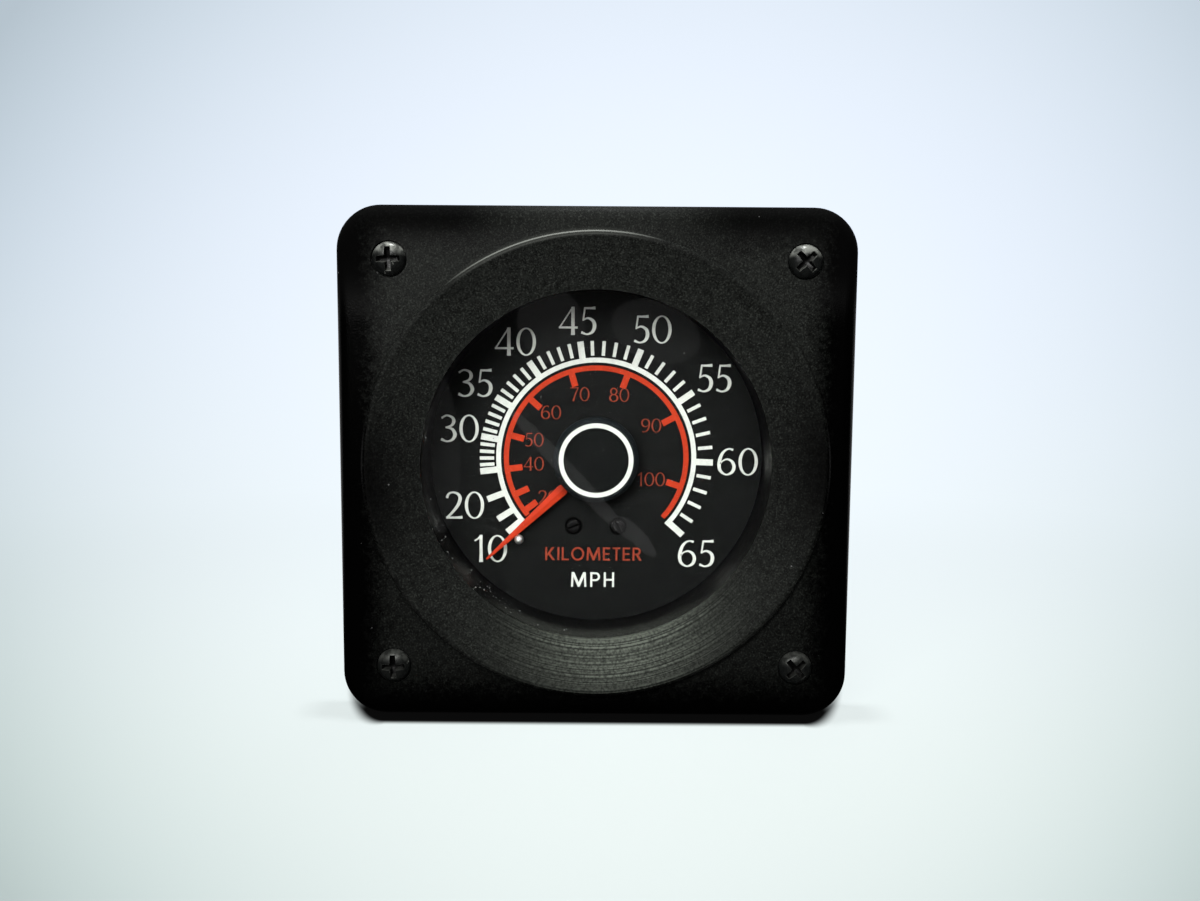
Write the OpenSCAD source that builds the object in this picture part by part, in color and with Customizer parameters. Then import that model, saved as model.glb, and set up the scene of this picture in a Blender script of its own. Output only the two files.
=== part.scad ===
// Boat speedometer: a square-bezel pressure gauge for a round panel hole.
// Millimetres. The dial faces -Y, +Z is up, and the origin is on the gauge's axis
// in the panel plane, where the gasket meets the front of the dashboard.

/* [Bezel] */
// Width and height of the square bezel
bezel_w = 115.4; // [112:0.1:124]
// Depth of the bezel, from its flat front to its rear edge
bezel_depth = 8.8; // [8:0.1:14]
// Thickness of the bezel's skirt
bezel_wall = 3; // [2:0.1:4]
// Thickness of the bezel's front plate
plate_t = 3; // [2.4:0.1:4]
// Corner radius seen from the front
corner_r = 10; // [8:0.5:14]
// Radius of the rolled front edge
edge_r = 3; // [2:0.1:5.5]
// Distance from the bezel's side to the raised ring
ring_margin = 5.5; // [4:0.05:6.5]
// Height of the raised ring over the front plate
ring_h = 1.9; // [1:0.1:3]
// Width of the flat lip on top of the ring
ring_lip_w = 1.2; // [0.6:0.1:2.5]
// How far the window's edge lies below the front plate
window_drop = 0.6; // [0.2:0.1:1.2]
// Thickness of the window's edge in front of the lens
window_edge_t = 1; // [0.8:0.1:1.6]
// How much smaller the window is than the inside of the case
window_inset = 0.65; // [0.4:0.05:3]
// Bezel screw centres, measured in from the bezel's sides
screw_inset = 12; // [11:0.05:12.5]

/* [Bezel screws] */
// Radius of the screw's thread
screw_r = 2.08; // [1.8:0.01:2.2]
// Radius of the pan head
screw_head_r = 3.8; // [3.6:0.1:4.4]
// Height of the pan head
screw_head_h = 2.4; // [2:0.1:3]
// Length of the screw under its head
screw_len = 7.9; // [7.2:0.1:8.1]
// Depth of the recess round each head
screw_recess = 0.6; // [0.2:0.1:1]
// Turn of the cross in the two left screws
cross_turn_left = 2; // [0:1:90]
// Turn of the cross in the two right screws
cross_turn_right = 43; // [0:1:90]

/* [Lens and seals] */
// Thickness of the clear lens
lens_t = 2; // [1.5:0.1:3]
// Thickness of the rubber ring behind the lens
seal_t = 1.4; // [1:0.1:2]
// Width of the rubber ring
seal_w = 1.9; // [1.2:0.1:2.1]
// Thickness of the panel gasket
gasket_t = 1.2; // [0.8:0.1:2]

/* [Case] */
// Outer radius of the round case
case_r = 42.3; // [41.5:0.1:44]
// Thickness of the case's round wall
case_wall = 2.2; // [1.8:0.1:3]
// Thickness of the case's back
case_back_t = 2.5; // [2:0.1:4]
// Radius of the case's rear edge
case_edge_r = 3; // [1.5:0.1:4]
// Thickness of the case's square flange
flange_t = 3; // [2.4:0.1:3.4]

/* [Dial] */
// Depth of the dial's face behind the bezel's front plate
dial_depth = 19.6; // [18:0.1:24]
// Thickness of the dial
dial_t = 0.8; // [0.6:0.1:1.5]
// Gap between the dial and the case wall
dial_gap = 0.3; // [0.2:0.05:1]
// Thickness of the printed scales
print_t = 0.1; // [0.06:0.01:0.2]
// Angle of the slowest mark, counter-clockwise from three o'clock
scale_start = 220.4; // [210:0.1:230]
// Angle swept from the slowest mark to the fastest
scale_sweep = 262; // [240:1:268]
// Slowest speed on the dial, miles per hour
mph_min = 10; // [5:5:10]
// Fastest speed on the dial, miles per hour
mph_max = 65; // [50:5:80]
// Speed from which every mile per hour has a mark
mph_fine = 25; // [15:5:40]
// Inner radius of the miles scale's arc
mph_arc_r = 22.9; // [22.5:0.05:24]
// Width of the miles scale's arc
mph_arc_w = 1.15; // [0.6:0.05:1.6]
// Outer radius of the numbered marks
mph_tick_r = 28.1; // [26:0.1:30]
// Width of the numbered marks
tick_w = 1.5; // [0.8:0.1:2]
// Width of the fine marks
fine_tick_w = 0.8; // [0.4:0.1:1]
// Gap between the two scales
scale_gap = 0.7; // [0.3:0.05:1]
// Width of the kilometre scale's arc
kmh_arc_w = 1.2; // [0.6:0.05:1.6]
// Length of the kilometre marks, inwards from the arc
kmh_tick_l = 3.1; // [2:0.1:4]

/* [Pointer] */
// Angle of the pointer at rest, counter-clockwise from three o'clock
pointer_rest = 223; // [221:0.5:232]
// Length of the pointer from its axis
pointer_l = 35.9; // [30:0.1:38]
// Width of the pointer at the hub
pointer_w = 2.7; // [2:0.1:4]
// Width of the pointer's tip
pointer_tip_w = 0.55; // [0.4:0.05:1]
// Thickness of the pointer
pointer_t = 0.6; // [0.4:0.1:1]
// Height of the hub cap's top over the dial's face
hub_height = 5.6; // [5:0.1:7]
// Thickness of the hub cap
hub_cap_t = 3; // [2.4:0.1:3.4]
// Radius of the hub cap
hub_r = 10.1; // [8:0.1:12]
// Bevel round the hub cap's top
hub_bevel = 0.8; // [0.3:0.1:1.2]
// Outer radius of the white ring on the hub
hub_ring_r = 8.8; // [6:0.1:9.2]
// Width of the white ring on the hub
hub_ring_w = 1.1; // [0.6:0.05:2]
// Distance of the stop pin from the axis
stop_pin_d = 26.9; // [24:0.1:32]
// Radius of the stop pin
stop_pin_r = 1.1; // [0.5:0.05:1.2]
// Height of the stop pin over the dial's face
stop_pin_h = 3.3; // [3:0.1:4]

/* [Movement] */
// Distance from the dial's rear to the front movement plate
dial_post_l = 2; // [1.8:0.1:4]
// Thickness of the movement plates
move_plate_t = 1.2; // [1:0.1:2]
// Clear distance between the movement plates
plate_gap = 12; // [12:0.5:16]
// Gear module: pitch diameter for each tooth
gear_module = 0.35; // [0.34:0.005:0.36]
// Teeth of the pinion on the pointer's arbor
pinion_teeth = 12; // [12:1:13]
// Teeth that the sector would have as a full wheel
wheel_teeth = 120; // [116:1:122]
// Direction of the sector's pivot from the pointer's axis
sector_dir = -51.7; // [-53:0.1:-50]
// Distance from the sector's pivot to its tail pin
tail_l = 8.6; // [8.2:0.1:9]
// Thickness of the sector
sector_t = 1; // [0.8:0.1:1.4]
// Radius of the pointer's arbor
arbor_r = 0.8; // [0.6:0.05:1]
// Radius of the sector's arbor
sector_arbor_r = 0.9; // [0.7:0.05:1.2]
// Turns of the hairspring
spring_turns = 5; // [4:1:6]
// Outer radius of the hairspring
spring_r = 6.5; // [6:0.1:7.2]

/* [Pressure tube] */
// Radius of the curved pressure tube's centre line
tube_r = 30.5; // [29.5:0.1:32]
// Width of the tube along the gauge's axis
tube_w = 9; // [7:0.1:10]
// Thickness of the flattened tube
tube_t = 3.2; // [2.4:0.1:3.6]
// Wall of the tube
tube_wall = 0.4; // [0.3:0.05:0.6]
// Angle of the tube's free end
tube_tip_dir = -8; // [-10:0.5:-6]
// Distance of the tip pin from the gauge's axis
tip_pin_d = 29.75; // [29:0.05:30.5]
// Direction of the tip pin from the gauge's axis
tip_pin_dir = -16.6; // [-18:0.1:-15]
// Width of the brass socket block
socket_w = 18; // [16:0.5:20]
// Height of the inlet below the gauge's axis
inlet_drop = 25.5; // [25:0.1:27]
// Radius of the threaded inlet stem
stem_r = 4.76; // [4.4:0.02:5.2]

/* [Rear fittings] */
// Inner radius of the hose nipple
nipple_bore = 1.5; // [1:0.1:2]
// Radius of the nipple's barbs
barb_r = 3.3; // [3:0.05:3.8]
// Number of barbs
barbs = 3; // [2:1:4]
// Distance between the two mounting studs
stud_pitch = 50.8; // [48:0.1:56]
// Radius of the mounting studs
stud_r = 2.08; // [1.8:0.02:2.4]
// Length of the studs behind the case
stud_len = 28; // [20:0.5:40]
// Radius of the lamp bulb
bulb_r = 5.1; // [3:0.1:5.3]
// Length of the lamp bulb in front of its socket
bulb_len = 17; // [12:0.5:18]

/* [Fits] */
// Radial clearance of a shaft that turns in its hole
run_fit = 0.04; // [0.02:0.01:0.08]
// Radial clearance of the open pivot between the link and the tube's tip
open_fit = 0.25; // [0.2:0.05:0.35]
// Clearance between parts that nest without touching
nest_fit = 0.4; // [0.2:0.05:0.6]
// Depth of a screw thread, which its hole is smaller by
thread_d = 0.3; // [0.2:0.05:0.4]
// Backlash between the gear teeth
backlash = 0.06; // [0.04:0.01:0.1]

/* [Hidden] */
$fn = 96;
eps = 0.01;

// Heights over the panel plane, counted towards the viewer
z_plate = gasket_t + bezel_depth;
z_under = z_plate - plate_t;
z_flange = gasket_t + flange_t;
z_window = z_plate - window_drop;
z_lens = z_window - window_edge_t;
z_rim = z_lens - lens_t - seal_t;
z_dial = z_plate - dial_depth;
z_dial_rear = z_dial - dial_t;
z_front_plate = z_dial_rear - dial_post_l;
z_gap_front = z_front_plate - move_plate_t;
z_gap_rear = z_gap_front - plate_gap;
z_rear_plate = z_gap_rear - move_plate_t;
z_hub = z_dial + hub_height;
z_pointer = z_hub - hub_cap_t;
tube_lift = 0.5;
z_tube = (z_gap_front + z_gap_rear) / 2 + tube_lift;
gear_drop = 0.9;
z_gear = z_tube - gear_drop;
z_sector_top = z_gear + sector_t / 2;
z_sector_rear = z_gear - sector_t / 2;
link_gap = 0.2;
link_t = 0.8;
z_link = z_sector_top + link_gap;
z_link_top = z_link + link_t;
lug_gap = 0.4;
z_lug = z_link_top + lug_gap;
lug_t = 1.2;
boss_l = 7.4;
z_shoulder = z_gap_rear - boss_l;
inner_seal_t = 1;
z_case_in = z_shoulder - inner_seal_t;
z_case_out = z_case_in - case_back_t;

// Front parts
ring_r = bezel_w / 2 - ring_margin;
case_in_r = case_r - case_wall;
window_r = case_in_r - window_inset;
lens_lap = 0.3;
lens_r = case_r + lens_lap;
collar_r = lens_r + nest_fit;
collar_w = 2.2;
gasket_room = 1.2;
gasket_inset = 0.7;
ring_chamfer = 0.4;
thread_tip = 0.6;
dial_r = case_in_r - dial_gap;
screw_at = bezel_w / 2 - screw_inset;
screw_seat = z_plate - screw_recess;
head_room = 0.25;
screw_boss_wall = 0.8;
screw_boss_r = screw_head_r + screw_boss_wall;

// Dial: the law of the pitot tube puts the angle in step with the square of the speed
function mph_angle(v) = scale_start
    - scale_sweep * (v * v - mph_min * mph_min) / (mph_max * mph_max - mph_min * mph_min);
km_per_mile = 1.609;
mph_thick = [for (v = [mph_min : 5 : mph_max]) v];
kmh_marks = [for (v = [20 : 10 : floor(mph_max * km_per_mile / 10) * 10]) v];
kmh_arc_r = mph_arc_r - scale_gap - kmh_arc_w;
post_x = 5.4;
dial_screw_y = -16.6;
dial_screw_r = 1.1;
dial_screw_head_r = 1.95;
dial_screw_head_h = 0.8;
dial_screw_bite = 4.5;
slot_w = 0.5;
hole_spare = 0.5;
dial_post_r = 2.4;
fine_tick_gap = 0.5;
fine_tick_short = 0.1;
dial_screw_turns = [20, 62];
arbor_hole_r = 2.5;

// Pointer and stop
pointer_tail = 7;
pointer_half_w_at_stop = pointer_w / 2
    - (pointer_w - pointer_tip_w) / 2 * (stop_pin_d - hub_r) / (pointer_l - hub_r);
stop_gap = 0.03;
stop_dir = pointer_rest + asin((pointer_half_w_at_stop + stop_pin_r + stop_gap) / stop_pin_d);
boss_r = 2.6;
boss_gap = 0.7;
neck_r = 0.9;
arbor_neck_r = arbor_r - 0.2;
arbor_neck_l = 1;
hub_ring_depth = 0.3;
hub_ring_proud = 0.05;

// Gears: the pitch circles of pinion and sector touch on the line between the two arbors
pinion_pitch_r = gear_module * pinion_teeth / 2;
wheel_pitch_r = gear_module * wheel_teeth / 2;
pivot_d = pinion_pitch_r + wheel_pitch_r;
pivot = pivot_d * [cos(sector_dir), sin(sector_dir)];
pointer_range = 268;
sector_range = pointer_range * pinion_teeth / wheel_teeth;
pressure_angle = 25;
teeth_ahead = 2;
teeth_behind = ceil(sector_range / (360 / wheel_teeth)) + 2;
pinion_l = 3;

// Linkage: the free end of the tube turns about the centroid of the tube's arc
socket_left = -asin(socket_w / 2 / tube_r) - 90;
arc_sweep = 360 - (tube_tip_dir - socket_left);
arc_mid = tube_tip_dir + arc_sweep / 2;
centroid_d = tube_r * sin(arc_sweep / 2) / (arc_sweep / 2 * PI / 180);
centroid = centroid_d * [cos(arc_mid), sin(arc_mid)];
tip_pin_at = tip_pin_d * [cos(tip_pin_dir), sin(tip_pin_dir)];
tip_arm = norm(tip_pin_at - centroid);
tail_stroke = 2 * tail_l * sin(sector_range / 2);
tip_range = 2 * asin(tail_stroke / 2 / tip_arm);
function turned(p, a) = [p[0] * cos(a) - p[1] * sin(a), p[0] * sin(a) + p[1] * cos(a)];
tip_mid = centroid + turned(tip_pin_at - centroid, tip_range / 2);
reach = norm(tip_mid - pivot);
reach_dir = atan2(tip_mid[1] - pivot[1], tip_mid[0] - pivot[0]);
tail_mid_dir = reach_dir - acos(tail_l / reach);
tail_dir = tail_mid_dir - sector_range / 2;
tail_at = pivot + tail_l * [cos(tail_dir), sin(tail_dir)];
link_l = norm(tip_pin_at - tail_at);
link_dir = atan2(tip_pin_at[1] - tail_at[1], tip_pin_at[0] - tail_at[0]);
pin_r = 0.6;
pin_end = 0.4;
pin_gap = 0.1;
pin_head_w = 0.6;
pin_head_t = 0.2;
eye_r = 1.6;
link_w = 2;
lug_w = 2.4;
tip_cap_l = 2.4;
tip_cap_wall = 0.6;
rim_w = 2.2;
arm_w = 1.6;
arm_inset = 1.5;
tail_w = 2.6;
sector_hub_r = 3.2;
arbor_collar_w = 0.7;
arbor_collar_l = 1.2;
arbor_play = 0.1;
sector_last = sector_dir + 180 + 360 / wheel_teeth * (teeth_ahead - 0.5);
slot_room = 0.6;

// Socket block and what is screwed to it
socket_top = -14.7;
socket_bottom = -35;
bury = 3.2;
movement_screw_y = -22.6;
rear_screw_y = -16.5;
movement_screw_r = 1.1;
movement_head_r = 2;
movement_head_h = 1.2;
movement_screw_bite = 4;
movement_slot_turn = 15;
rear_slot_turn = 70;
stem_boss_r = 7;
stem_l = 13;
washer_t = 1.2;
washer_r = 8.5;
nut_t = 5;
nut_w = 14.3;
pillar_r = 1.8;
tenon_r = 1.1;
pillar_pad_r = 3.4;
pivot_pad_r = 3.6;
plate_corner_r = 2;
front_hem = 3.4;
rear_hem = 1.6;
way_r = 1.2;
cross_way_r = 1;
washer_room = 0.2;
pillars = [[11.5, 7.5], [-10.5, 3.5]];
bush_r = 2.2;
bush_lip = 0.3;

// Rear fittings
nipple_hex_w = 9.5;
nipple_hex_t = 4;
nipple_base_r = 2.7;
barb_land = 0.8;
barb_pitch = 4.2;
barb_step = 0.6;
nipple_thread_l = 4;
nipple_neck = 2.5;
stud_head_r = 4;
stud_head_t = 2;
stud_shank_r = 1.85;
lamp_at = [-13.5, 17.4];
lamp_hole_r = 6.4;
lamp_fit = 0.15;
lamp_flange_r = 8;
lamp_flange_t = 2;
lamp_body_r = 5.8;
lamp_body_l = 8;
lamp_plug_l = 3;
blade_w = 6.3;
blade_t = 0.8;
blade_l = 8;
blade_gap = 5;
blade_seat = 5;

// Turns a piece drawn as seen from the front, x right, y up, z to the viewer, into place
module facing() {
    rotate([90, 0, 0]) children();
}

module at_screws() {
    for (x = [-1, 1], y = [-1, 1])
        translate([x * screw_at, y * screw_at, 0]) children();
}

module mirrored_x(x, y) {
    for (side = [-1, 1]) translate([side * x, y, 0]) children();
}

// Square bar with rounded corners, from height z0 to z1
module rounded_square(w, r, z0, z1) {
    for (turn = [0, 90])
        rotate([0, 0, turn])
            translate([-w / 2, r - w / 2, z0]) cube([w, w - 2 * r, z1 - z0]);
    for (x = [-1, 1], y = [-1, 1])
        translate([x * (w / 2 - r), y * (w / 2 - r), z0]) cylinder(r = r, h = z1 - z0);
}

// Section of a bar r wide and h high, with its outer top edge rolled
module rolled_section(r, h, roll) {
    square([r, h - roll]);
    square([r - roll, h]);
    translate([r - roll, h - roll]) circle(roll);
}

// The same with a rolled front edge of radius roll
module rolled_square(w, r, roll, z0, z1) {
    side = w - 2 * r;
    translate([-side / 2, -side / 2, z0]) cube([side, side, z1 - z0]);
    for (turn = [0 : 90 : 270])
        rotate([0, 0, turn]) {
            translate([side / 2, side / 2, z0])
                rotate([90, 0, 0]) linear_extrude(side) rolled_section(r, z1 - z0, roll);
            translate([side / 2, side / 2, z0])
                rotate_extrude(angle = 90) rolled_section(r, z1 - z0, roll);
        }
}

// Flat ring or disc from height z0 to z1
module ring(r_in, r_out, z0, z1) {
    difference() {
        translate([0, 0, z0]) cylinder(r = r_out, h = z1 - z0);
        if (r_in > 0) translate([0, 0, z0 - 1]) cylinder(r = r_in, h = z1 - z0 + 2);
    }
}

module rod(r, z0, z1) {
    translate([0, 0, z0]) cylinder(r = r, h = z1 - z0);
}

// Part of a flat ring between two angles
module ring_arc(r_in, r_out, a0, a1, z, h) {
    rotate([0, 0, a0])
        rotate_extrude(angle = a1 - a0) translate([r_in, z]) square([r_out - r_in, h]);
}

module tick(a, r0, r1, w) {
    rotate([0, 0, a]) translate([r0, -w / 2, z_dial]) cube([r1 - r0, w, print_t]);
}

// Low domed screw head, seated at height z
module pan_head(r, h, z) {
    dome = h / 2;
    ball = (r * r + dome * dome) / (2 * dome);
    intersection() {
        rod(r, z, z + h);
        translate([0, 0, z + h - ball]) sphere(ball, $fn = 128);
    }
}

// Cross recess of a screwdriver, cut down from height z
module cross_recess(z, turn) {
    wing_l = 4.6;
    wing_w = 0.95;
    depth = 1.5;
    rotate([0, 0, turn]) {
        for (a = [0, 90])
            rotate([0, 0, a]) translate([-wing_l / 2, -wing_w / 2, z - depth])
                cube([wing_l, wing_w, depth + 1]);
        translate([0, 0, z - depth - 0.5]) cylinder(r1 = 0.4, r2 = 1.2, h = depth + 0.6);
    }
}

// Shank with a chamfered end, from its tip at height z0 to z1
module threaded_end(r, z0, z1) {
    rod(r, z0 + thread_tip, z1);
    translate([0, 0, z0]) cylinder(r1 = r - thread_tip, r2 = r, h = thread_tip);
}

// Flat screw head on height zero, with its shank below
module slotted_screw(r, l, head_r, head_h, slot_turn) {
    difference() {
        union() {
            rod(head_r, 0, head_h);
            rod(r, -l, eps);
        }
        rotate([0, 0, slot_turn])
            translate([-head_r - 1, -slot_w / 2, head_h * 0.45]) cube([2 * head_r + 2, slot_w, head_h]);
    }
}

module bezel() {
    color("#17181a") facing() difference() {
        union() {
            difference() {
                rolled_square(bezel_w, corner_r, edge_r, gasket_t, z_plate);
                rounded_square(bezel_w - 2 * bezel_wall, corner_r - bezel_wall, gasket_t - 1, z_under);
                rod(ring_r - 1, z_under - 1, z_plate + 1);
            }
            rotate_extrude($fn = 180) polygon([
                [window_r, z_lens], [window_r, z_window], [ring_r - ring_lip_w, z_plate + ring_h],
                [ring_r - ring_chamfer, z_plate + ring_h], [ring_r, z_plate + ring_h - ring_chamfer],
                [ring_r, z_under],
                [collar_r + collar_w, z_under], [collar_r + collar_w, z_flange],
                [collar_r, z_flange], [collar_r, z_lens]]);
            at_screws() rod(screw_boss_r, z_flange, z_under + eps);
        }
        at_screws() {
            rod(screw_r + nest_fit, z_flange - 1, z_plate + 1);
            rod(screw_head_r + head_room, screw_seat, z_plate + 1);
        }
    }
}

module bezel_screws() {
    color("#1b1c1e") facing() for (x = [-1, 1], y = [-1, 1])
        translate([x * screw_at, y * screw_at, 0]) difference() {
            union() {
                pan_head(screw_head_r, screw_head_h, screw_seat);
                threaded_end(screw_r, screw_seat - screw_len, screw_seat + eps);
            }
            cross_recess(screw_seat + screw_head_h, x < 0 ? cross_turn_left : cross_turn_right);
        }
}

module lens() {
    color([0.8, 0.88, 0.9, 0.3]) facing() rod(lens_r, z_lens - lens_t, z_lens);
}

module lens_seal() {
    color("#202124") facing() ring(case_r - seal_w, case_r, z_rim, z_rim + seal_t);
}

module panel_gasket() {
    color("#26272a") facing() difference() {
        rounded_square(bezel_w - 2 * gasket_inset, corner_r - gasket_inset, 0, gasket_t);
        rod(case_r + gasket_room, -1, gasket_t + 1);
    }
}

module case() {
    w = bezel_w - 2 * bezel_wall - 2 * nest_fit;
    color("#1c1d20") facing() difference() {
        union() {
            rounded_square(w, corner_r - bezel_wall - nest_fit, gasket_t, z_flange);
            rod(case_r, z_case_out + case_edge_r, z_rim);
            rod(case_r - case_edge_r, z_case_out, z_rim);
            rotate_extrude() translate([case_r - case_edge_r, z_case_out + case_edge_r]) circle(case_edge_r);
        }
        rod(case_in_r, z_case_in, z_rim + 1);
        at_screws() rod(screw_r - thread_d, -1, z_flange + 1);
        translate([0, -inlet_drop, 0]) rod(stem_r + nest_fit, z_case_out - 1, z_case_in + 1);
        translate(lamp_at) rod(lamp_hole_r, z_case_out - 1, z_case_in + 1);
        mirrored_x(stud_pitch / 2, 0) rod(stud_shank_r, z_case_out - 1, z_case_in + 1);
    }
}

module dial() {
    color("#0d0d0e") facing() difference() {
        ring(arbor_hole_r, dial_r, z_dial_rear, z_dial);
        mirrored_x(post_x, dial_screw_y) rod(dial_screw_r + run_fit, z_dial_rear - 1, z_dial + 1);
        rotate([0, 0, stop_dir]) translate([stop_pin_d, 0, 0]) rod(stop_pin_r, z_dial_rear - 1, z_dial + 1);
    }
}

module mph_scale() {
    end = asin(tick_w / 2 / mph_arc_r);
    color("white") facing() {
        ring_arc(mph_arc_r, mph_arc_r + mph_arc_w, mph_angle(mph_max) - end, scale_start + end,
            z_dial, print_t);
        for (v = mph_thick)
            tick(mph_angle(v), mph_arc_r + mph_arc_w / 2, mph_tick_r, tick_w);
        for (v = [mph_fine : mph_max]) if (v % 5 != 0)
            tick(mph_angle(v), mph_arc_r + mph_arc_w + fine_tick_gap, mph_tick_r - fine_tick_short,
                fine_tick_w);
    }
}

module kmh_scale() {
    color("#d8331f") facing() {
        ring_arc(kmh_arc_r, kmh_arc_r + kmh_arc_w, mph_angle(mph_max), scale_start, z_dial, print_t);
        for (v = kmh_marks)
            tick(mph_angle(v / km_per_mile), kmh_arc_r - kmh_tick_l, kmh_arc_r + kmh_arc_w / 2, tick_w);
    }
}

module dial_screws() {
    color("#1a1a1b") facing() for (side = [0, 1])
        translate([(2 * side - 1) * post_x, dial_screw_y, z_dial])
            slotted_screw(dial_screw_r, dial_t + dial_post_l + move_plate_t + dial_screw_bite,
                dial_screw_head_r, dial_screw_head_h, dial_screw_turns[side]);
}

module dial_posts() {
    color("#b9a25c") facing() mirrored_x(post_x, dial_screw_y)
        ring(dial_screw_r + run_fit, dial_post_r, z_front_plate, z_dial_rear);
}

module stop_pin() {
    color("#d5d7da") facing() rotate([0, 0, stop_dir]) translate([stop_pin_d, 0, 0]) {
        rod(stop_pin_r, z_dial_rear, z_dial + stop_pin_h - stop_pin_r);
        translate([0, 0, z_dial + stop_pin_h - stop_pin_r]) sphere(stop_pin_r, $fn = 48);
    }
}

module pointer_blade() {
    color("#e8401f") facing() rotate([0, 0, pointer_rest]) difference() {
        translate([0, 0, z_pointer - pointer_t]) linear_extrude(pointer_t) polygon([
            [-pointer_tail, -pointer_w / 2], [hub_r, -pointer_w / 2], [pointer_l, -pointer_tip_w / 2],
            [pointer_l, pointer_tip_w / 2], [hub_r, pointer_w / 2], [-pointer_tail, pointer_w / 2]]);
        rod(neck_r, z_pointer - pointer_t - 1, z_pointer + 1);
    }
}

module pointer_boss() {
    color("#c4ac63") facing() difference() {
        union() {
            rod(boss_r, z_dial + boss_gap, z_pointer - pointer_t);
            rod(neck_r, z_dial + boss_gap, z_pointer);
        }
        rod(arbor_neck_r, z_dial, z_pointer + 1);
    }
}

module hub_cap() {
    color("#0f1012") facing() difference() {
        rotate_extrude() polygon([
            [0, z_pointer], [hub_r, z_pointer], [hub_r, z_hub - hub_bevel], [hub_r - hub_bevel, z_hub],
            [0, z_hub]]);
        ring(hub_ring_r - hub_ring_w, hub_ring_r, z_hub - hub_ring_depth, z_hub + 1);
        rod(arbor_neck_r, z_pointer - 1, z_pointer + arbor_neck_l + nest_fit / 2);
    }
}

module hub_ring() {
    color("white") facing()
        ring(hub_ring_r - hub_ring_w, hub_ring_r, z_hub - hub_ring_depth, z_hub + hub_ring_proud);
}

// Outline of an involute gear tooth, as points on both of its flanks
function inv(a) = tan(a) * 180 / PI - a;
function tooth_half(r, pitch_r, teeth) =
    90 / teeth - backlash / 2 / pitch_r * 90 / PI + inv(pressure_angle)
    - inv(acos(min(1, pitch_r * cos(pressure_angle) / r)));
function flank_radii(pitch_r) =
    let (base = pitch_r * cos(pressure_angle), top = pitch_r + 0.8 * gear_module,
        root = pitch_r - 1.1 * gear_module, low = max(base, root))
    concat(root < base ? [root] : [], [for (i = [0 : 4]) low + (top - low) * i / 4]);
function tooth(dir, pitch_r, teeth) =
    let (rr = flank_radii(pitch_r), n = len(rr), half = [for (r = rr) tooth_half(r, pitch_r, teeth)])
    concat(
        [for (i = [0 : n - 1]) rr[i] * [cos(dir - half[i]), sin(dir - half[i])]],
        [for (i = [n - 1 : -1 : 0]) rr[i] * [cos(dir + half[i]), sin(dir + half[i])]]);

module pinion_arbor() {
    color("#c9ccd0") facing() {
        rod(arbor_r, z_rear_plate - bush_lip, z_dial + boss_gap);
        rod(arbor_neck_r, z_dial + boss_gap - eps, z_pointer + arbor_neck_l);
        translate([0, 0, z_gear - pinion_l / 2]) linear_extrude(pinion_l) polygon([
            for (i = [0 : pinion_teeth - 1]) each tooth(sector_dir + i * 360 / pinion_teeth,
                pinion_pitch_r, pinion_teeth)]);
    }
}

module arbor_bushes() {
    color("#c4ac63") facing() {
        ring(arbor_r + run_fit, bush_r, z_gap_front - bush_lip, z_front_plate + bush_lip);
        ring(arbor_r + run_fit, bush_r, z_rear_plate - bush_lip, z_gap_rear + bush_lip);
    }
}

// Movement plate from height z0 to z1, reaching down to low
module move_plate(z0, z1, low) {
    difference() {
        translate([0, 0, z0]) linear_extrude(z1 - z0) hull() {
            for (p = pillars) translate(p) circle(pillar_pad_r, $fn = 32);
            translate(pivot) circle(pivot_pad_r, $fn = 32);
            mirrored_x(socket_w / 2 - plate_corner_r, low + plate_corner_r) circle(plate_corner_r, $fn = 32);
        }
        rod(bush_r, z0 - 1, z1 + 1);
        translate(pivot) rod(sector_arbor_r + run_fit, z0 - 1, z1 + 1);
        for (p = pillars) translate(p) rod(tenon_r, z0 - 1, z1 + 1);
        children();
    }
}

module front_plate() {
    color("#c2a85a") facing() move_plate(z_gap_front, z_front_plate, movement_screw_y - front_hem) {
        mirrored_x(post_x, dial_screw_y) rod(dial_screw_r + run_fit, z_gap_front - 1, z_front_plate + 1);
        mirrored_x(post_x, movement_screw_y) rod(movement_screw_r, z_gap_front - 1, z_front_plate + 1);
    }
}

module rear_plate() {
    color("#c2a85a") facing() move_plate(z_rear_plate, z_gap_rear, rear_screw_y - rear_hem) {
        mirrored_x(post_x, rear_screw_y) rod(movement_screw_r, z_rear_plate - 1, z_gap_rear + 1);
        translate([0, -inlet_drop, 0]) rod(stem_boss_r + nest_fit, z_rear_plate - 1, z_gap_rear + 1);
    }
}

module plate_pillars() {
    color("#c4ac63") facing() for (p = pillars) translate(p) {
        rod(pillar_r, z_gap_rear, z_gap_front);
        rod(tenon_r, z_rear_plate, z_front_plate);
    }
}

module movement_screws() {
    color("#b7babd") facing() {
        mirrored_x(post_x, movement_screw_y) translate([0, 0, z_front_plate])
            slotted_screw(movement_screw_r, move_plate_t + movement_screw_bite, movement_head_r,
                movement_head_h, movement_slot_turn);
        mirrored_x(post_x, rear_screw_y) translate([0, 0, z_rear_plate]) mirror([0, 0, 1])
            slotted_screw(movement_screw_r, move_plate_t + movement_screw_bite, movement_head_r,
                movement_head_h, rear_slot_turn);
    }
}

// Hairspring: a flat spiral strip from the collet to the stud
spring_in_r = 2;
spring_w = 0.8;
strip_t = 0.2;
spring_end_dir = 150;
collet_l = 1.6;
spring_stud_r = 0.8;
spring_drop = 2;
z_spring = z_gap_front - spring_drop;
function spiral_r(s) = spring_in_r + (spring_r - spring_in_r) * s;
function spiral_point(s, side) =
    let (a = spring_end_dir - 360 * spring_turns * (1 - s))
    (spiral_r(s) + side * strip_t / 2) * [cos(a), sin(a)];
spiral_steps = 32 * spring_turns;

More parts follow.
